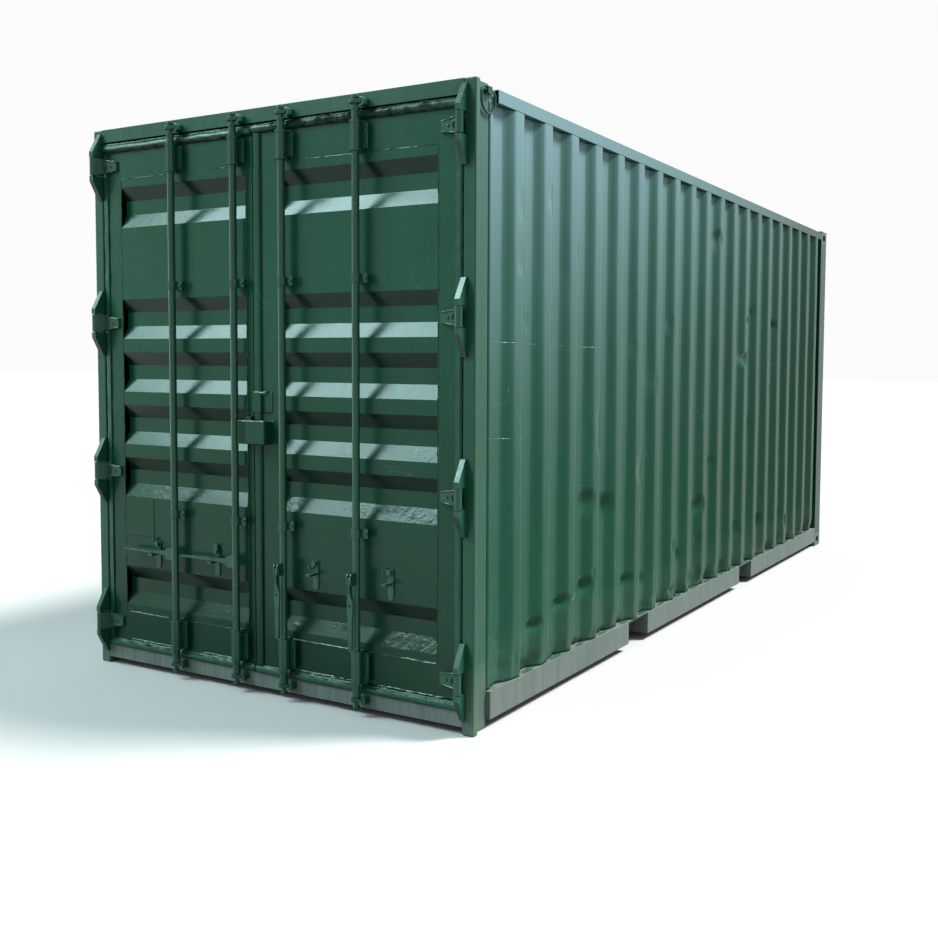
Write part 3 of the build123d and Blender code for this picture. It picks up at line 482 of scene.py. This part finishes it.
# %% [markdown]
# The long wall is one pressed sheet with twenty ribs. Its outline is a row of flats and slopes, and a
# press leaves each bend round, not sharp. So the outline is first written with sharp bends and then
# averaged over a bend's width.

# %% The rib's outline
RIB_PITCH = 0.2816
RIB_FLAT = 0.076
RIB_SLOPE = 0.068
RIB_DEPTH = 0.036
RIB_COUNT = 20
EDGE_SET_BACK = 0.022
EDGE_STRIP = 0.043
EDGE_SLOPE = 0.014
FIRST_RIB = wall_low.y + 0.203
BEND_RADIUS = 0.009
BEND_STEPS = 5


def sharp_outline(y):
    """How far the sheet lies inside the box's side at a distance along it."""
    start = y - wall_low.y
    if start < EDGE_STRIP:
        return EDGE_SET_BACK
    if start < EDGE_STRIP + EDGE_SLOPE:
        return EDGE_SET_BACK + (start - EDGE_STRIP) / EDGE_SLOPE * (RIB_DEPTH - EDGE_SET_BACK)
    rib = (y - FIRST_RIB + RIB_SLOPE) / RIB_PITCH
    if rib < 0 or rib >= RIB_COUNT:
        return RIB_DEPTH
    along = (rib % 1.0) * RIB_PITCH
    rise = min(along, 2 * RIB_SLOPE + RIB_FLAT - along) / RIB_SLOPE
    return RIB_DEPTH * (1 - max(0.0, min(1.0, rise)))


def soft_outline(y):
    """The same outline with rounded bends, as an average over a bend's width."""
    reach = [BEND_RADIUS * (2 * i / (BEND_STEPS - 1) - 1) for i in range(BEND_STEPS)]
    return sum(sharp_outline(min(max(y + r, wall_low.y), wall_high.y)) for r in reach) / BEND_STEPS


rib_top, recess = soft_outline(FIRST_RIB + RIB_FLAT / 2), soft_outline(FIRST_RIB - RIB_PITCH / 3)
print("rib top at", round(rib_top, 3), "and recess at", round(recess, 3), "inside the box's side")

# %% [markdown]
# A flat grid becomes the sheet when its columns are moved to where the bends are. Columns stand close
# together at a bend and wide apart on a flat. Rows are close together where the sheet is dented, so
# that a small dent still has enough points.

# %% Columns and rows
FINE_ROW = 0.017
COARSE_ROW = 0.045
DENTED_BANDS = ((0.0, 1.05), (1.6, 2.1), (2.45, 3.0))

bends = [wall_low.y + EDGE_STRIP, wall_low.y + EDGE_STRIP + EDGE_SLOPE]
for rib in range(RIB_COUNT):
    start = FIRST_RIB + rib * RIB_PITCH
    bends += [start - RIB_SLOPE, start, start + RIB_FLAT, start + RIB_FLAT + RIB_SLOPE]


def wall_columns():
    """Column places: three at each bend and up to four across each flat."""
    places = {wall_low.y, wall_high.y}
    for bend in bends:
        places |= {bend + share * BEND_RADIUS for share in (-1.0, 0.0, 1.0)}
    for first, second in zip(bends, bends[1:] + [wall_high.y]):
        if second - first > 0.03:
            shares = (0.27, 0.42, 0.58, 0.73) if second - first > 0.07 else (0.5,)
            places |= {first + (second - first) * share for share in shares}
    return sorted(place for place in places if wall_low.y <= place <= wall_high.y)


def wall_rows():
    """Row heights: close together where the sheet is dented."""
    heights = [wall_low.z]
    while heights[-1] < wall_high.z:
        dented = any(low < heights[-1] < high for low, high in DENTED_BANDS)
        heights.append(heights[-1] + (FINE_ROW if dented else COARSE_ROW))
    heights[-1] = wall_high.z
    return heights


columns = wall_columns()
rows = wall_rows()
print(len(columns), "columns and", len(rows), "rows")

# %% [markdown]
# A dent is a soft hollow, deepest at its middle. The large ones are listed one by one, as distances
# from the wall's door end and heights above the ground. Forty-four small ones are drawn by chance
# with a fixed seed, three in four of them near the foot, where loads knock against the sheet.

# %% Dents of the long wall
wall_dents = [
    # along, height, half length, half height, depth
    (0.110, 0.385, 0.030, 0.030, 0.006),
    (0.447, 0.385, 0.060, 0.045, 0.026),
    (0.735, 0.444, 0.065, 0.050, 0.026),
    (1.011, 0.941, 0.070, 0.090, 0.022),
    (1.011, 0.480, 0.060, 0.075, 0.030),
    (1.263, 0.886, 0.070, 0.110, 0.018),
    (1.550, 0.415, 0.060, 0.055, 0.020),
    (1.771, 0.377, 0.060, 0.060, 0.022),
    (2.338, 0.441, 0.060, 0.070, 0.022),
    (2.710, 0.731, 0.070, 0.090, 0.026),
    (2.995, 2.541, 0.070, 0.090, 0.020),
    (3.592, 1.723, 0.080, 0.080, 0.024),
    (3.693, 2.008, 0.090, 0.050, 0.024),
    (4.044, 0.456, 0.080, 0.080, 0.022),
    (4.339, 1.994, 0.090, 0.060, 0.024),
    (0.267, 2.400, 0.045, 0.110, 0.009),
    (0.267, 2.130, 0.045, 0.070, 0.010),
    (0.561, 2.480, 0.045, 0.100, 0.009),
    (0.857, 2.250, 0.040, 0.060, 0.007),
    (1.123, 1.365, 0.050, 0.120, 0.006),
    (1.673, 1.047, 0.060, 0.120, 0.008),
    (1.880, 1.574, 0.060, 0.070, 0.010),
    (2.208, 0.236, 0.070, 0.050, 0.020),
    (2.532, 0.260, 0.080, 0.100, 0.024),
]
SMALL_DENTS = 44


def small_dent(chance):
    """One small dent at a place drawn by chance."""
    size = chance.uniform(0.022, 0.045)
    near_foot = chance.random() < 0.75
    height = chance.uniform(0.22, 0.62) if near_foot else chance.uniform(0.9, 2.3)
    along = chance.uniform(0.15, 5.3)
    rise = size * chance.uniform(0.9, 2.6)
    return along, height, size, rise, chance.uniform(0.004, 0.010)


draws = random.Random(11)
wall_dents += [small_dent(draws) for _ in range(SMALL_DENTS)]
print(len(wall_dents), "dents")

# %% [markdown]
# Two functions say how far a point of the sheet is pushed in: one sums the dents that reach it, the
# other crushes the lowest hand's breadth unevenly.

# %% Depth of the damage
def dent_depth(along, height, dents):
    """Sum of the hollows that reach a point, each a little shorter above its middle than below."""
    depth_here = 0.0
    for centre, middle, reach, rise, depth in dents:
        across = (along - centre) / reach
        up = (height - middle) / rise
        up *= 1.5 if up > 0 else 1.15
        distance = math.sqrt(across * across + up * up)
        if distance < 1.0:
            depth_here += 1.25 * depth * (1.0 - distance)
    return depth_here


def crushed_foot(along, height, amount):
    """How far the foot of the sheet is pushed in."""
    above = height - wall_low.z
    reach = 0.11 + 0.06 * noise.noise(Vector((along * 2.1, 3.7, 0)))
    if above > reach:
        return 0.0
    broad = noise.noise(Vector((along * 6.0, 1.3, above * 8)))
    narrow = noise.noise(Vector((along * 17.0, 5.1, above * 14)))
    uneven = 0.4 + 0.8 * broad + 0.7 * narrow
    return amount * max(0.0, uneven) * (1 - above / reach) ** 1.2


print("deepest dent", round(max(depth for *_, depth in wall_dents), 3))

# %% [markdown]
# Now the wall itself. A plain grid is made, and each point is set in or out by the outline, a faint
# sway of the whole sheet and the damage. The sway fades out at the edges, where the sheet is welded.
# A Solidify modifier gives the sheet its thickness. The left wall doesn't show, so it has every
# second row and a third of the dents, half as deep and in places that run the other way.

# %% The long walls
SHEET_SET_BACK = 0.0008
SHEET_THICKNESS = 0.002
LEFT_DENTS_FROM = 5.0


def long_wall(name, side, dents, heights, amount):
    """Builds one long wall and puts it in place of the plain sheet."""
    shape = bmesh.new()
    bmesh.ops.create_grid(shape, x_segments=len(columns) - 1, y_segments=len(heights) - 1, size=0.5)
    for vert in shape.verts:
        along = columns[round((vert.co.x + 0.5) * (len(columns) - 1))]
        height = heights[round((vert.co.y + 0.5) * (len(heights) - 1))]
        inward = soft_outline(along) + SHEET_SET_BACK
        start = along - wall_low.y
        edge = min(1.0, (wall_high.z - height) / 0.04, start / 0.03, (wall_high.y - along) / 0.03)
        sway = 0.0035 * noise.noise(Vector((along * 2.7, height * 1.1, side * 5.0)))
        sway += 0.0012 * noise.noise(Vector((along * 9.0, height * 5.0, side * 9.0)))
        inward += edge * (max(sway, -inward) + dent_depth(start, height, dents))
        inward += crushed_foot(along, height, amount) * min(1.0, start / 0.1)
        vert.co = Vector((side * (half_width - max(0.0, inward)), along, height))
    if side < 0:
        bmesh.ops.reverse_faces(shape, faces=shape.faces)
    piece = as_piece(name, shape, wall_paint, "box", smooth_angle=60.0)
    plate = piece.modifiers.new("sheet", "SOLIDIFY")
    plate.thickness = SHEET_THICKNESS
    plate.offset = -1.0
    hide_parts("side_wall_right" if side > 0 else "side_wall_left")
    return piece


left_dents = [(LEFT_DENTS_FROM - along, height, reach, rise, depth * 0.5)
              for along, height, reach, rise, depth in wall_dents[::3]]
right_wall = long_wall("long_wall_right", 1, wall_dents, rows, amount=0.028)
left_wall = long_wall("long_wall_left", -1, left_dents, rows[::2] + rows[-1:], amount=0.012)
print("long walls:", len(right_wall.data.polygons), "and", len(left_wall.data.polygons), "faces")

# %% [markdown]
# Thick paint has no knife edges. Each of the frames and fittings below is shown by a copy of its
# measured mesh whose sharp edges are rounded, broadly on the frame and finely on the gear. The copy's
# loose triangles are first joined into flat faces, so that only real edges are rounded. Weighted
# normals then keep the large faces flat and let the narrow round ones carry the turn of the light.

# %% Helpers for rounded copies
def merged_copy(node):
    """A bmesh of a measured piece, with its loose triangles joined into flat faces."""
    shape = bmesh.new()
    shape.from_mesh(frame["nodes"][node].data)
    bmesh.ops.remove_doubles(shape, verts=shape.verts, dist=0.00002)
    bmesh.ops.dissolve_limit(
        shape, angle_limit=math.radians(1.0), use_dissolve_boundaries=False, verts=shape.verts,
        edges=shape.edges,
    )
    return shape


def soft_edges(shape, width, sharper_than=18.0):
    """Rounds the sharp edges, as thick paint does."""
    limit = math.radians(sharper_than)
    edges = [edge for edge in shape.edges if edge.is_manifold and edge.calc_face_angle(0.0) > limit]
    bmesh.ops.bevel(
        shape, geom=edges, offset=width, offset_type="OFFSET", segments=2, profile=0.5,
        affect="EDGES", clamp_overlap=True, material=-1,
    )
    return shape


def keep_faces_flat(piece):
    """Adds weighted normals that keep the sharp edges sharp."""
    piece.modifiers.new("flat_faces", "WEIGHTED_NORMAL").keep_sharp = True


print("rounding helpers ready")

# %% [markdown]
# The width of the rounding is chosen for each kind of piece. A width near half the thickness of a thin plate
# would eat the plate, so bars, guides and handles get less than two millimetres. Each copy rides on the same
# body as the piece that it stands for.

# %% Rounded edges
edge_widths = {
    "door_post": 0.006, "door_sill": 0.003, "door_header": 0.004, "top_rail": 0.004, "bottom_rail": 0.003,
    "rear_post": 0.004, "corner_castings": 0.005, "leaf_frame": 0.0022, "leaf_panel": 0.0035,
    "overlap_bead": 0.003, "hinge_blades": 0.003, "hinge_lugs": 0.0025, "bar_guides": 0.0018,
    "cam_keepers": 0.0025, "bar_cams": 0.0018, "locking_bar": 0.0015, "handle": 0.0018, "catch": 0.0018,
    "lock_box_left": 0.0045, "bead_cover": 0.003, "blank_plate": 0.002, "ring_lugs": 0.0025,
}
rounded = []
for node, plain in frame["nodes"].items():
    width = next((value for key, value in edge_widths.items() if node.startswith(key)), None)
    if width:
        shape = soft_edges(merged_copy(node), width)
        copy = as_piece("soft_" + node, shape, plain.data.materials[0], plain["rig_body"],
                        smooth_angle=24.0)
        keep_faces_flat(copy)
        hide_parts(node)
        rounded.append(copy)
print(len(rounded), "rounded pieces with", sum(len(piece.data.polygons) for piece in rounded), "faces")

# %% [markdown]
# The rubber seals are thick with brushed-on paint, so their round fronts are lumpy. Each copy is cut
# into short lengths, and the points that face forward are pushed out or in by a noise.

# %% Lumpy seals
LUMP_LENGTH = 0.018


def cut_along(shape, axis, step):
    """Cuts the long edges that run along an axis into short lengths."""
    long_edges = [edge for edge in shape.edges
                  if abs((edge.verts[0].co - edge.verts[1].co)[axis]) > 0.5]
    longest = max(edge.calc_length() for edge in long_edges)
    bmesh.ops.subdivide_edges(shape, edges=long_edges, cuts=int(longest / step), use_grid_fill=True)


for side in ("left", "right"):
    node = "seal_" + side
    shape = merged_copy(node)
    cut_along(shape, 0, LUMP_LENGTH)
    cut_along(shape, 2, LUMP_LENGTH)
    shape.normal_update()
    for vert in shape.verts:
        if vert.normal.y < -0.2:
            push = 0.0030 * noise.noise(vert.co * 14.0) + 0.0022 * noise.noise(vert.co * 45.0)
            vert.co += vert.normal * push
    copy = as_piece("lumpy_" + node, shape, seal_paint, "door_" + side, smooth_angle=60.0)
    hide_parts(node)
    print(copy.name, len(copy.data.polygons), "faces")

# %% [markdown]
# Rims, weld beads, ragged paint and scratches are all thin tubes that follow a line of points. A curve
# with a round bevel could make them, but it is even all along. Here a flat grid is rolled round the
# line, so each point can be moved by a noise. Its seam is joined, and its ends are filled.

# %% Tubes along a line
def tube(shape, path, radius, sides=8, wobble=0.0, seed=0.0):
    """Adds a tube along a line of points to a bmesh."""
    last = len(path) - 1
    made = bmesh.ops.create_grid(shape, x_segments=last, y_segments=sides, size=0.5)["verts"]
    for vert in made:
        step = round((vert.co.x + 0.5) * last)
        turn = 2 * math.pi * (vert.co.y + 0.5)
        ahead = (path[min(step + 1, last)] - path[max(step - 1, 0)]).normalized()
        across = ahead.cross(Vector((0, 1, 0)) if abs(ahead.y) < 0.8 else Vector((0, 0, 1))).normalized()
        spoke = across * math.cos(turn) + ahead.cross(across) * math.sin(turn)
        ripple = noise.noise(path[step] * 37.0 + Vector((seed, math.cos(turn), math.sin(turn))))
        vert.co = path[step] + spoke * max(0.3 * radius, radius * (1 + wobble * ripple))
    bmesh.ops.remove_doubles(shape, verts=made, dist=0.00001)
    open_ends = [edge for edge in shape.edges if edge.is_boundary]
    bmesh.ops.holes_fill(shape, edges=open_ends, sides=0)


def line(start, end, step=0.012):
    """Points along a straight line, about a step apart."""
    start, end = Vector(start), Vector(end)
    count = max(1, round((end - start).length / step))
    return [start.lerp(end, i / count) for i in range(count + 1)]


def tubes_piece(name, shape, material, body, smooth_angle=40.0):
    """Turns all faces of a set of tubes outwards and makes it a piece."""
    bmesh.ops.recalc_face_normals(shape, faces=shape.faces)
    piece = as_piece(name, shape, material, body, smooth_angle)
    print(name, len(piece.data.polygons), "faces")


print("tube helpers ready")

# %% [markdown]
# Bolt heads and folded covers are a cone and a cube, each with all its edges rounded by the same
# bevel.

# %% Bolts and folded boxes
def rounded_all_round(shape, made, corner, segments):
    """Rounds every edge of a form that was just added."""
    edges = list({edge for vert in made for edge in vert.link_edges})
    bmesh.ops.bevel(
        shape, geom=edges, offset=corner, offset_type="OFFSET", segments=segments, profile=0.5,
        affect="EDGES", clamp_overlap=True, material=-1,
    )


def knob(shape, place, radius, depth, sides=6):
    """Adds a bolt head with its edges rounded, standing out of the doors."""
    turn = Matrix.Translation(place) @ Matrix.Rotation(math.radians(90), 4, "X")
    made = bmesh.ops.create_cone(
        shape, cap_ends=True, segments=sides, radius1=radius, radius2=radius * 0.92, depth=depth, matrix=turn
    )["verts"]
    rounded_all_round(shape, made, radius * 0.16, 2)


def folded_box(shape, low, high, corner):
    """Adds a box whose edges are rounded."""
    low, high = Vector(low), Vector(high)
    place = Matrix.Translation((low + high) / 2) @ Matrix.Diagonal((*(high - low), 1))
    made = bmesh.ops.create_cube(shape, size=1.0, matrix=place)["verts"]
    rounded_all_round(shape, made, corner, 4)


print("bolt and box helpers ready")

# %% [markdown]
# Each hinge blade has a raised rim along its upper and lower edge, a worn ring round its end and two
# bolts. The blade widens and comes forward from its root on the leaf to its end, and so do the rims.
# The four hinges of a side share one piece.

# %% Hinge rims
HINGE_HEIGHTS = (0.245, 1.068, 1.865, 2.697)
BLADE_ROOT, BLADE_END = 1.044, 1.128
ROOT_OUT, END_OUT = 0.0065, 0.0155
ROOT_HALF_HEIGHT, END_HALF_HEIGHT = 0.0225, 0.0345
RING_PLACE, RING_OUT, RING_RADIUS, RING_STEPS = 1.126, 0.0152, 0.019, 24
BOLT_PLACE, BOLT_OUT = 1.080, 0.0110

for side, label in ((-1, "left"), (1, "right")):
    shape = bmesh.new()
    for height in HINGE_HEIGHTS:
        for up in (-1, 1):
            rim = line((side * BLADE_ROOT, post_front - ROOT_OUT, height + up * ROOT_HALF_HEIGHT),
                       (side * BLADE_END, post_front - END_OUT, height + up * END_HALF_HEIGHT))
            tube(shape, rim, 0.0032, wobble=0.5, seed=height)
        middle = Vector((side * RING_PLACE, post_front - RING_OUT, height))
        turns = [2 * math.pi * i / RING_STEPS for i in range(RING_STEPS + 1)]
        ring = [middle + RING_RADIUS * Vector((math.cos(a), 0, math.sin(a))) for a in turns]
        tube(shape, ring, 0.0026, sides=6, wobble=0.4)
        knob(shape, middle, 0.008, 0.005, sides=10)
        knob(shape, Vector((side * BOLT_PLACE, post_front - BOLT_OUT, height)), 0.007, 0.007)
    tubes_piece("hinge_rims_" + label, shape, gear_paint, "door_" + label)

# %% [markdown]
# Weld beads cross each leaf above and below its pressed panel. A ragged ridge of old paint follows the
# foot of each leaf, and a finer one each side of its panel.

# %% Welds and ragged paint
PANEL_SPANS = {"left": (-1.020, -0.125), "right": (0.084, 1.020)}
WELD_HEIGHTS = (0.305, 2.627)
RIDGE_HEIGHT = 0.149
RIDGE_PAST_PANEL = 0.08

for label, (first, second) in PANEL_SPANS.items():
    shape = bmesh.new()
    for height in WELD_HEIGHTS:
        weld = line((first, face_y + 0.0006, height), (second, face_y + 0.0006, height))
        tube(shape, weld, 0.0022, 6, 0.8, height)
    ridge = line((first, face_y + 0.001, RIDGE_HEIGHT),
                 (second + RIDGE_PAST_PANEL, face_y + 0.001, RIDGE_HEIGHT + 0.002), 0.007)
    tube(shape, ridge, 0.0050, 6, 1.5, 3.0)
    for edge in (first + 0.001, second - 0.001):
        upright = line((edge, face_y + 0.001, WELD_HEIGHTS[0] + 0.005),
                       (edge, face_y + 0.001, WELD_HEIGHTS[1] - 0.007))
        tube(shape, upright, 0.0024, 6, 1.2, edge)
    tubes_piece("ragged_paint_" + label, shape, door_paint, "door_" + label, 60.0)

# %% [markdown]
# The lock box reads as one folded cover with round corners. Its front runs over the gap of the leaves
# and swings with the right one. Two rounded boxes make it: a wide front plate and a body behind it.

# %% Lock box
box_low, box_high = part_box("lock_box_right")
slab_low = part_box("lock_box_left")[0]
PLATE_DEPTH = 0.028
PLATE_LAP = 0.008

shape = bmesh.new()
folded_box(shape, (slab_low.x, box_low.y, box_low.z),
           (box_high.x, box_low.y + PLATE_DEPTH, box_high.z), 0.0065)
folded_box(shape, (box_low.x, box_low.y + PLATE_DEPTH - PLATE_LAP, box_low.z),
           (box_high.x, face_y, box_high.z), 0.004)
cover = as_piece("lock_cover", shape, door_paint, "door_right")
keep_faces_flat(cover)
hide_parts("lock_box_right")
print("lock cover", len(cover.data.polygons), "faces")

# %% [markdown]
# Pale lines run along the edges of the lock box, on the edge of the cover above it and in short lengths at
# the foot of the leaves. They are rubbed paint, painted pale as a highlight. Each of them is a tube between
# two points, and some are more uneven than others.

# %% Pale edges, painted highlights
cap_low, cap_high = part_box("bead_cover")
front = box_low.y + 0.003
top = box_high.z - 0.003
left_edge = slab_low.x + 0.002
cap_front, cap_top = cap_low.y + 0.001, cap_high.z - 0.002

box_edges = [
    # start, end, step, radius, wobble, seed
    ((slab_low.x + 0.006, front, top), (box_high.x - 0.006, front, top), 0.006, 0.0030, 0.9, 1.0),
    ((left_edge, front, box_low.z + 0.006), (left_edge, front, box_high.z - 0.006), 0.006, 0.0016, 0.9, 2.0),
    ((box_high.x - 0.002, box_low.y + 0.035, box_high.z - 0.001),
     (box_high.x + 0.012, face_y - 0.001, box_high.z - 0.002), 0.005, 0.0028, 1.2, 4.0),
    ((cap_low.x + 0.012, cap_front, cap_top),
     (cap_high.x - 0.030, cap_front, cap_top), 0.005, 0.0042, 1.3, 5.0),
]
foot_edges = {
    # from, to, height
    "right": [(0.10, 0.42, 0.158), (0.50, 0.62, 0.156), (0.70, 1.00, 0.157), (0.82, 1.01, 0.306),
              (0.17, 0.55, 0.306)],
    "left": [(-0.98, -0.62, 0.157), (-0.44, -0.18, 0.156), (-0.99, -0.70, 0.306)],
}
for label, edges in foot_edges.items():
    shape = bmesh.new()
    if label == "right":
        for start, end, step, radius, wobble, seed in box_edges:
            tube(shape, line(start, end, step), radius, 6, wobble, seed)
    for first, second, height in edges:
        path = line((first, face_y - 0.0015, height), (second, face_y - 0.0015, height - 0.002), 0.006)
        tube(shape, path, 0.0019, 5, 1.6, first)
    tubes_piece("pale_edges_" + label, shape, rubbed_paint_and_highlight, "door_" + label)

# %% [markdown]
# The sheets of the sides and of the end don't reach the rear posts by themselves. A narrow folded
# strip closes each of them against its post.

# %% Strips at the rear posts
rear_low, rear_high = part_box("end_wall")
STRIP_DEPTH = 0.037
STRIP_HALF_WIDTH = 0.004

shape = bmesh.new()
for side in (-1, 1):
    inner, outer = sorted((side * (half_width - 0.0005 - STRIP_DEPTH), side * (half_width - 0.0005)))
    folded_box(shape, (inner, wall_high.y - 0.004, wall_low.z),
               (outer, wall_high.y + 0.003, wall_high.z), 0.0015)
    inner, outer = sorted((side * (rear_high.x - STRIP_HALF_WIDTH), side * (rear_high.x + STRIP_HALF_WIDTH)))
    folded_box(shape, (inner, rear_low.y, rear_low.z), (outer, rear_high.y + 0.005, rear_high.z), 0.0015)
strips = as_piece("rear_strips", shape, wall_paint, "box")
print("rear strips", len(strips.data.polygons), "faces")

# %% [markdown]
# A long scratch is where something was dragged along the wall. It follows the ribs in and out, so its
# points are taken from the wall's own outline and dents. They lie just under the sheet's face, so that
# only the crest of the tube shows as a fine uneven line.

# %% Scratches on the long wall
SCRATCH_RADIUS = 0.0006
SCRATCH_SINK = 0.0004
scratch_lines = [
    # from (along, height), to (along, height), bow
    ((0.020, 1.762), (1.20, 1.754), 0.0),
    ((0.789, 0.428), (1.086, 0.370), 0.055),
    ((0.020, 0.410), (0.060, 0.394), 0.0),
    ((0.0, 1.325), (0.70, 1.290), 0.0),
]


def wall_point(start, height):
    """A point just under the face of the right long wall, given from its door end."""
    inward = soft_outline(wall_low.y + start) + dent_depth(start, height, wall_dents)
    return Vector((half_width - inward - SHEET_SET_BACK - SCRATCH_SINK, wall_low.y + start, height))


shape = bmesh.new()
for (first, low), (second, high), bow in scratch_lines:
    count = round((second - first) / 0.006)
    path = []
    for share in [i / count for i in range(count + 1)]:
        height = low + (high - low) * share + bow * math.sin(math.pi * share)
        path.append(wall_point(first + (second - first) * share, height))
    tube(shape, path, SCRATCH_RADIUS, 4, 0.9, first)
tubes_piece("wall_scratches", shape, rubbed_paint_and_highlight, "box")

# %% [markdown]
# Where the sheet meets the rail, thick paint has pooled in each recess. A pool is a ball pressed flat
# against the sheet and drawn out along it, with its skin made uneven by a noise.

# %% Pooled paint
POOL_SQUASH = (0.30, 1.6, 0.24, 1)

shape = bmesh.new()
for rib in range(RIB_COUNT):
    centre = FIRST_RIB + rib * RIB_PITCH + RIB_FLAT / 2 + RIB_PITCH / 2
    if centre < wall_high.y - 0.1:
        size = 0.032 + 0.010 * noise.noise(Vector((rib * 3.3, 0.2, 0.7)))
        place = Matrix.Translation((half_width - 0.020, centre, wall_low.z + 0.002))
        place = place @ Matrix.Diagonal(POOL_SQUASH)
        bmesh.ops.create_uvsphere(shape, u_segments=20, v_segments=12, radius=size, matrix=place)
for vert in shape.verts:
    vert.co += vert.normal * 0.003 * noise.noise(vert.co * 30.0)
pools = as_piece("pooled_paint", shape, wall_paint, "box")
print("pooled paint", len(pools.data.polygons), "faces")

# %% [markdown]
# The camera stands where the picture was taken: a little under head height, to the right of the
# doors. Its place and its angles come from fitting the container's corners. The lens is given as a
# focal length in pixels, and its axis isn't at the middle of the picture, which the shift takes up.

# %% Camera
EYE = Vector((3.713, post_front - 3.932, 1.660))
HEADING, TILT, ROLL = -28.86, -3.402, 0.462
FOCAL_PIXELS = 1064.5
PICTURE = 938
CENTRE = (540.3, 428.1)
FILM_WIDTH = 36.0

camera_data = bpy.data.cameras.new("camera")
camera = bpy.data.objects.new("camera", camera_data)
scene.collection.objects.link(camera)
turn = Matrix.Rotation(math.radians(-HEADING), 4, "Z")
turn = turn @ Matrix.Rotation(math.radians(90 + TILT), 4, "X")
turn = turn @ Matrix.Rotation(math.radians(ROLL), 4, "Z")
camera.matrix_world = Matrix.Translation(EYE) @ turn
camera_data.sensor_width = FILM_WIDTH
camera_data.lens = FILM_WIDTH * FOCAL_PIXELS / PICTURE
camera_data.shift_x = (PICTURE / 2 - CENTRE[0]) / PICTURE
camera_data.shift_y = (CENTRE[1] - PICTURE / 2) / PICTURE
camera_data.clip_end = 500.0
scene.camera = camera
print("camera lens", round(camera_data.lens, 2), "mm")

# %% [markdown]
# The studio is plain. The floor and the room look pale to the camera and in mirrorings, but they send
# less light back on the paint, so that the green stays deep. A Light Path node tells the two apart.

# %% Floor
def seen_directly(tree):
    """1 for rays from the camera, mirrorings and glass, 0 for soft light."""
    path = add(tree, "LightPath").outputs
    seen = calc(tree, "MAXIMUM", path["Is Camera Ray"], path["Is Glossy Ray"])
    return calc(tree, "MAXIMUM", seen, path["Is Transmission Ray"])


def stage_floor():
    """A wide pale floor."""
    shape = bmesh.new()
    bmesh.ops.create_grid(shape, x_segments=1, y_segments=1, size=120.0)
    mesh = bpy.data.meshes.new("studio_floor")
    shape.to_mesh(mesh)
    shape.free()
    piece = bpy.data.objects.new("studio_floor", mesh)
    scene.collection.objects.link(piece)
    material = bpy.data.materials.new("studio_floor")
    material.use_nodes = True
    tree = material.node_tree
    tree.nodes.remove(tree.nodes["Principled BSDF"])
    pale = add(tree, "BsdfDiffuse", {"Color": (0.50, 0.47, 0.46, 1)}).outputs[0]
    bounce = add(tree, "BsdfDiffuse", {"Color": (0.22, 0.22, 0.22, 1)}).outputs[0]
    mix = add(tree, "MixShader", {0: seen_directly(tree), 1: bounce, 2: pale})
    tree.links.new(mix.outputs[0], tree.nodes["Material Output"].inputs["Surface"])
    mesh.materials.append(material)
    return piece


print("floor", stage_floor().name)

# %% [markdown]
# The door lamp stands high to the left, where the lower slopes of the doors' troughs mirror it towards
# the camera. The narrow lamp draws pale lines down the left of the round bars. A wide high sun rakes
# the long wall, and the room fills the shadows.

# %% Lamps and room
SUN_DIRECTION = (-0.47, -0.36, -0.81)
ROOM_LIGHT = (0.50, 0.58, 0.60, 1)
ROOM_SEEN = (0.97, 0.97, 0.97, 1)


def soft_lamp(name, place, target, width, height, brightness, colour, spread=180.0):
    """A rectangular lamp with a given brightness of face, aimed at a point."""
    data = bpy.data.lights.new(name, "AREA")
    data.shape = "RECTANGLE"
    data.size = width
    data.size_y = height
    data.energy = brightness * math.pi * width * height
    data.color = colour
    data.spread = math.radians(spread)
    lamp = bpy.data.objects.new(name, data)
    scene.collection.objects.link(lamp)
    lamp.location = place
    lamp.rotation_euler = (Vector(target) - Vector(place)).to_track_quat("-Z", "Y").to_euler()
    return lamp


soft_lamp("door_lamp", (-6.9, -8.2, 9.3), (0.3, -3.0, 0.8), 5.2, 6.2, 2.3, (0.66, 0.95, 1.0), spread=58.0)
soft_lamp("edge_lamp", (-9.5, -4.6, 2.2), (0.0, -3.0, 1.5), 1.2, 4.0, 7.0, (0.72, 0.95, 1.0))

sun_data = bpy.data.lights.new("high_sun", "SUN")
sun_data.energy = 6.8
sun_data.angle = math.radians(18)
sun_data.color = (0.93, 1.0, 0.98)
high_sun = bpy.data.objects.new("high_sun", sun_data)
scene.collection.objects.link(high_sun)
high_sun.rotation_euler = Vector(SUN_DIRECTION).to_track_quat("-Z", "Y").to_euler()

world = bpy.data.worlds.new("pale_room")
scene.world = world
world.use_nodes = True
tree = world.node_tree
room = blend_colours(tree, seen_directly(tree), ROOM_LIGHT, ROOM_SEEN)
tree.links.new(room, tree.nodes["Background"].inputs["Color"])
scene.view_settings.view_transform = "Standard"
print(len(bpy.data.lights), "lamps and the room are ready")
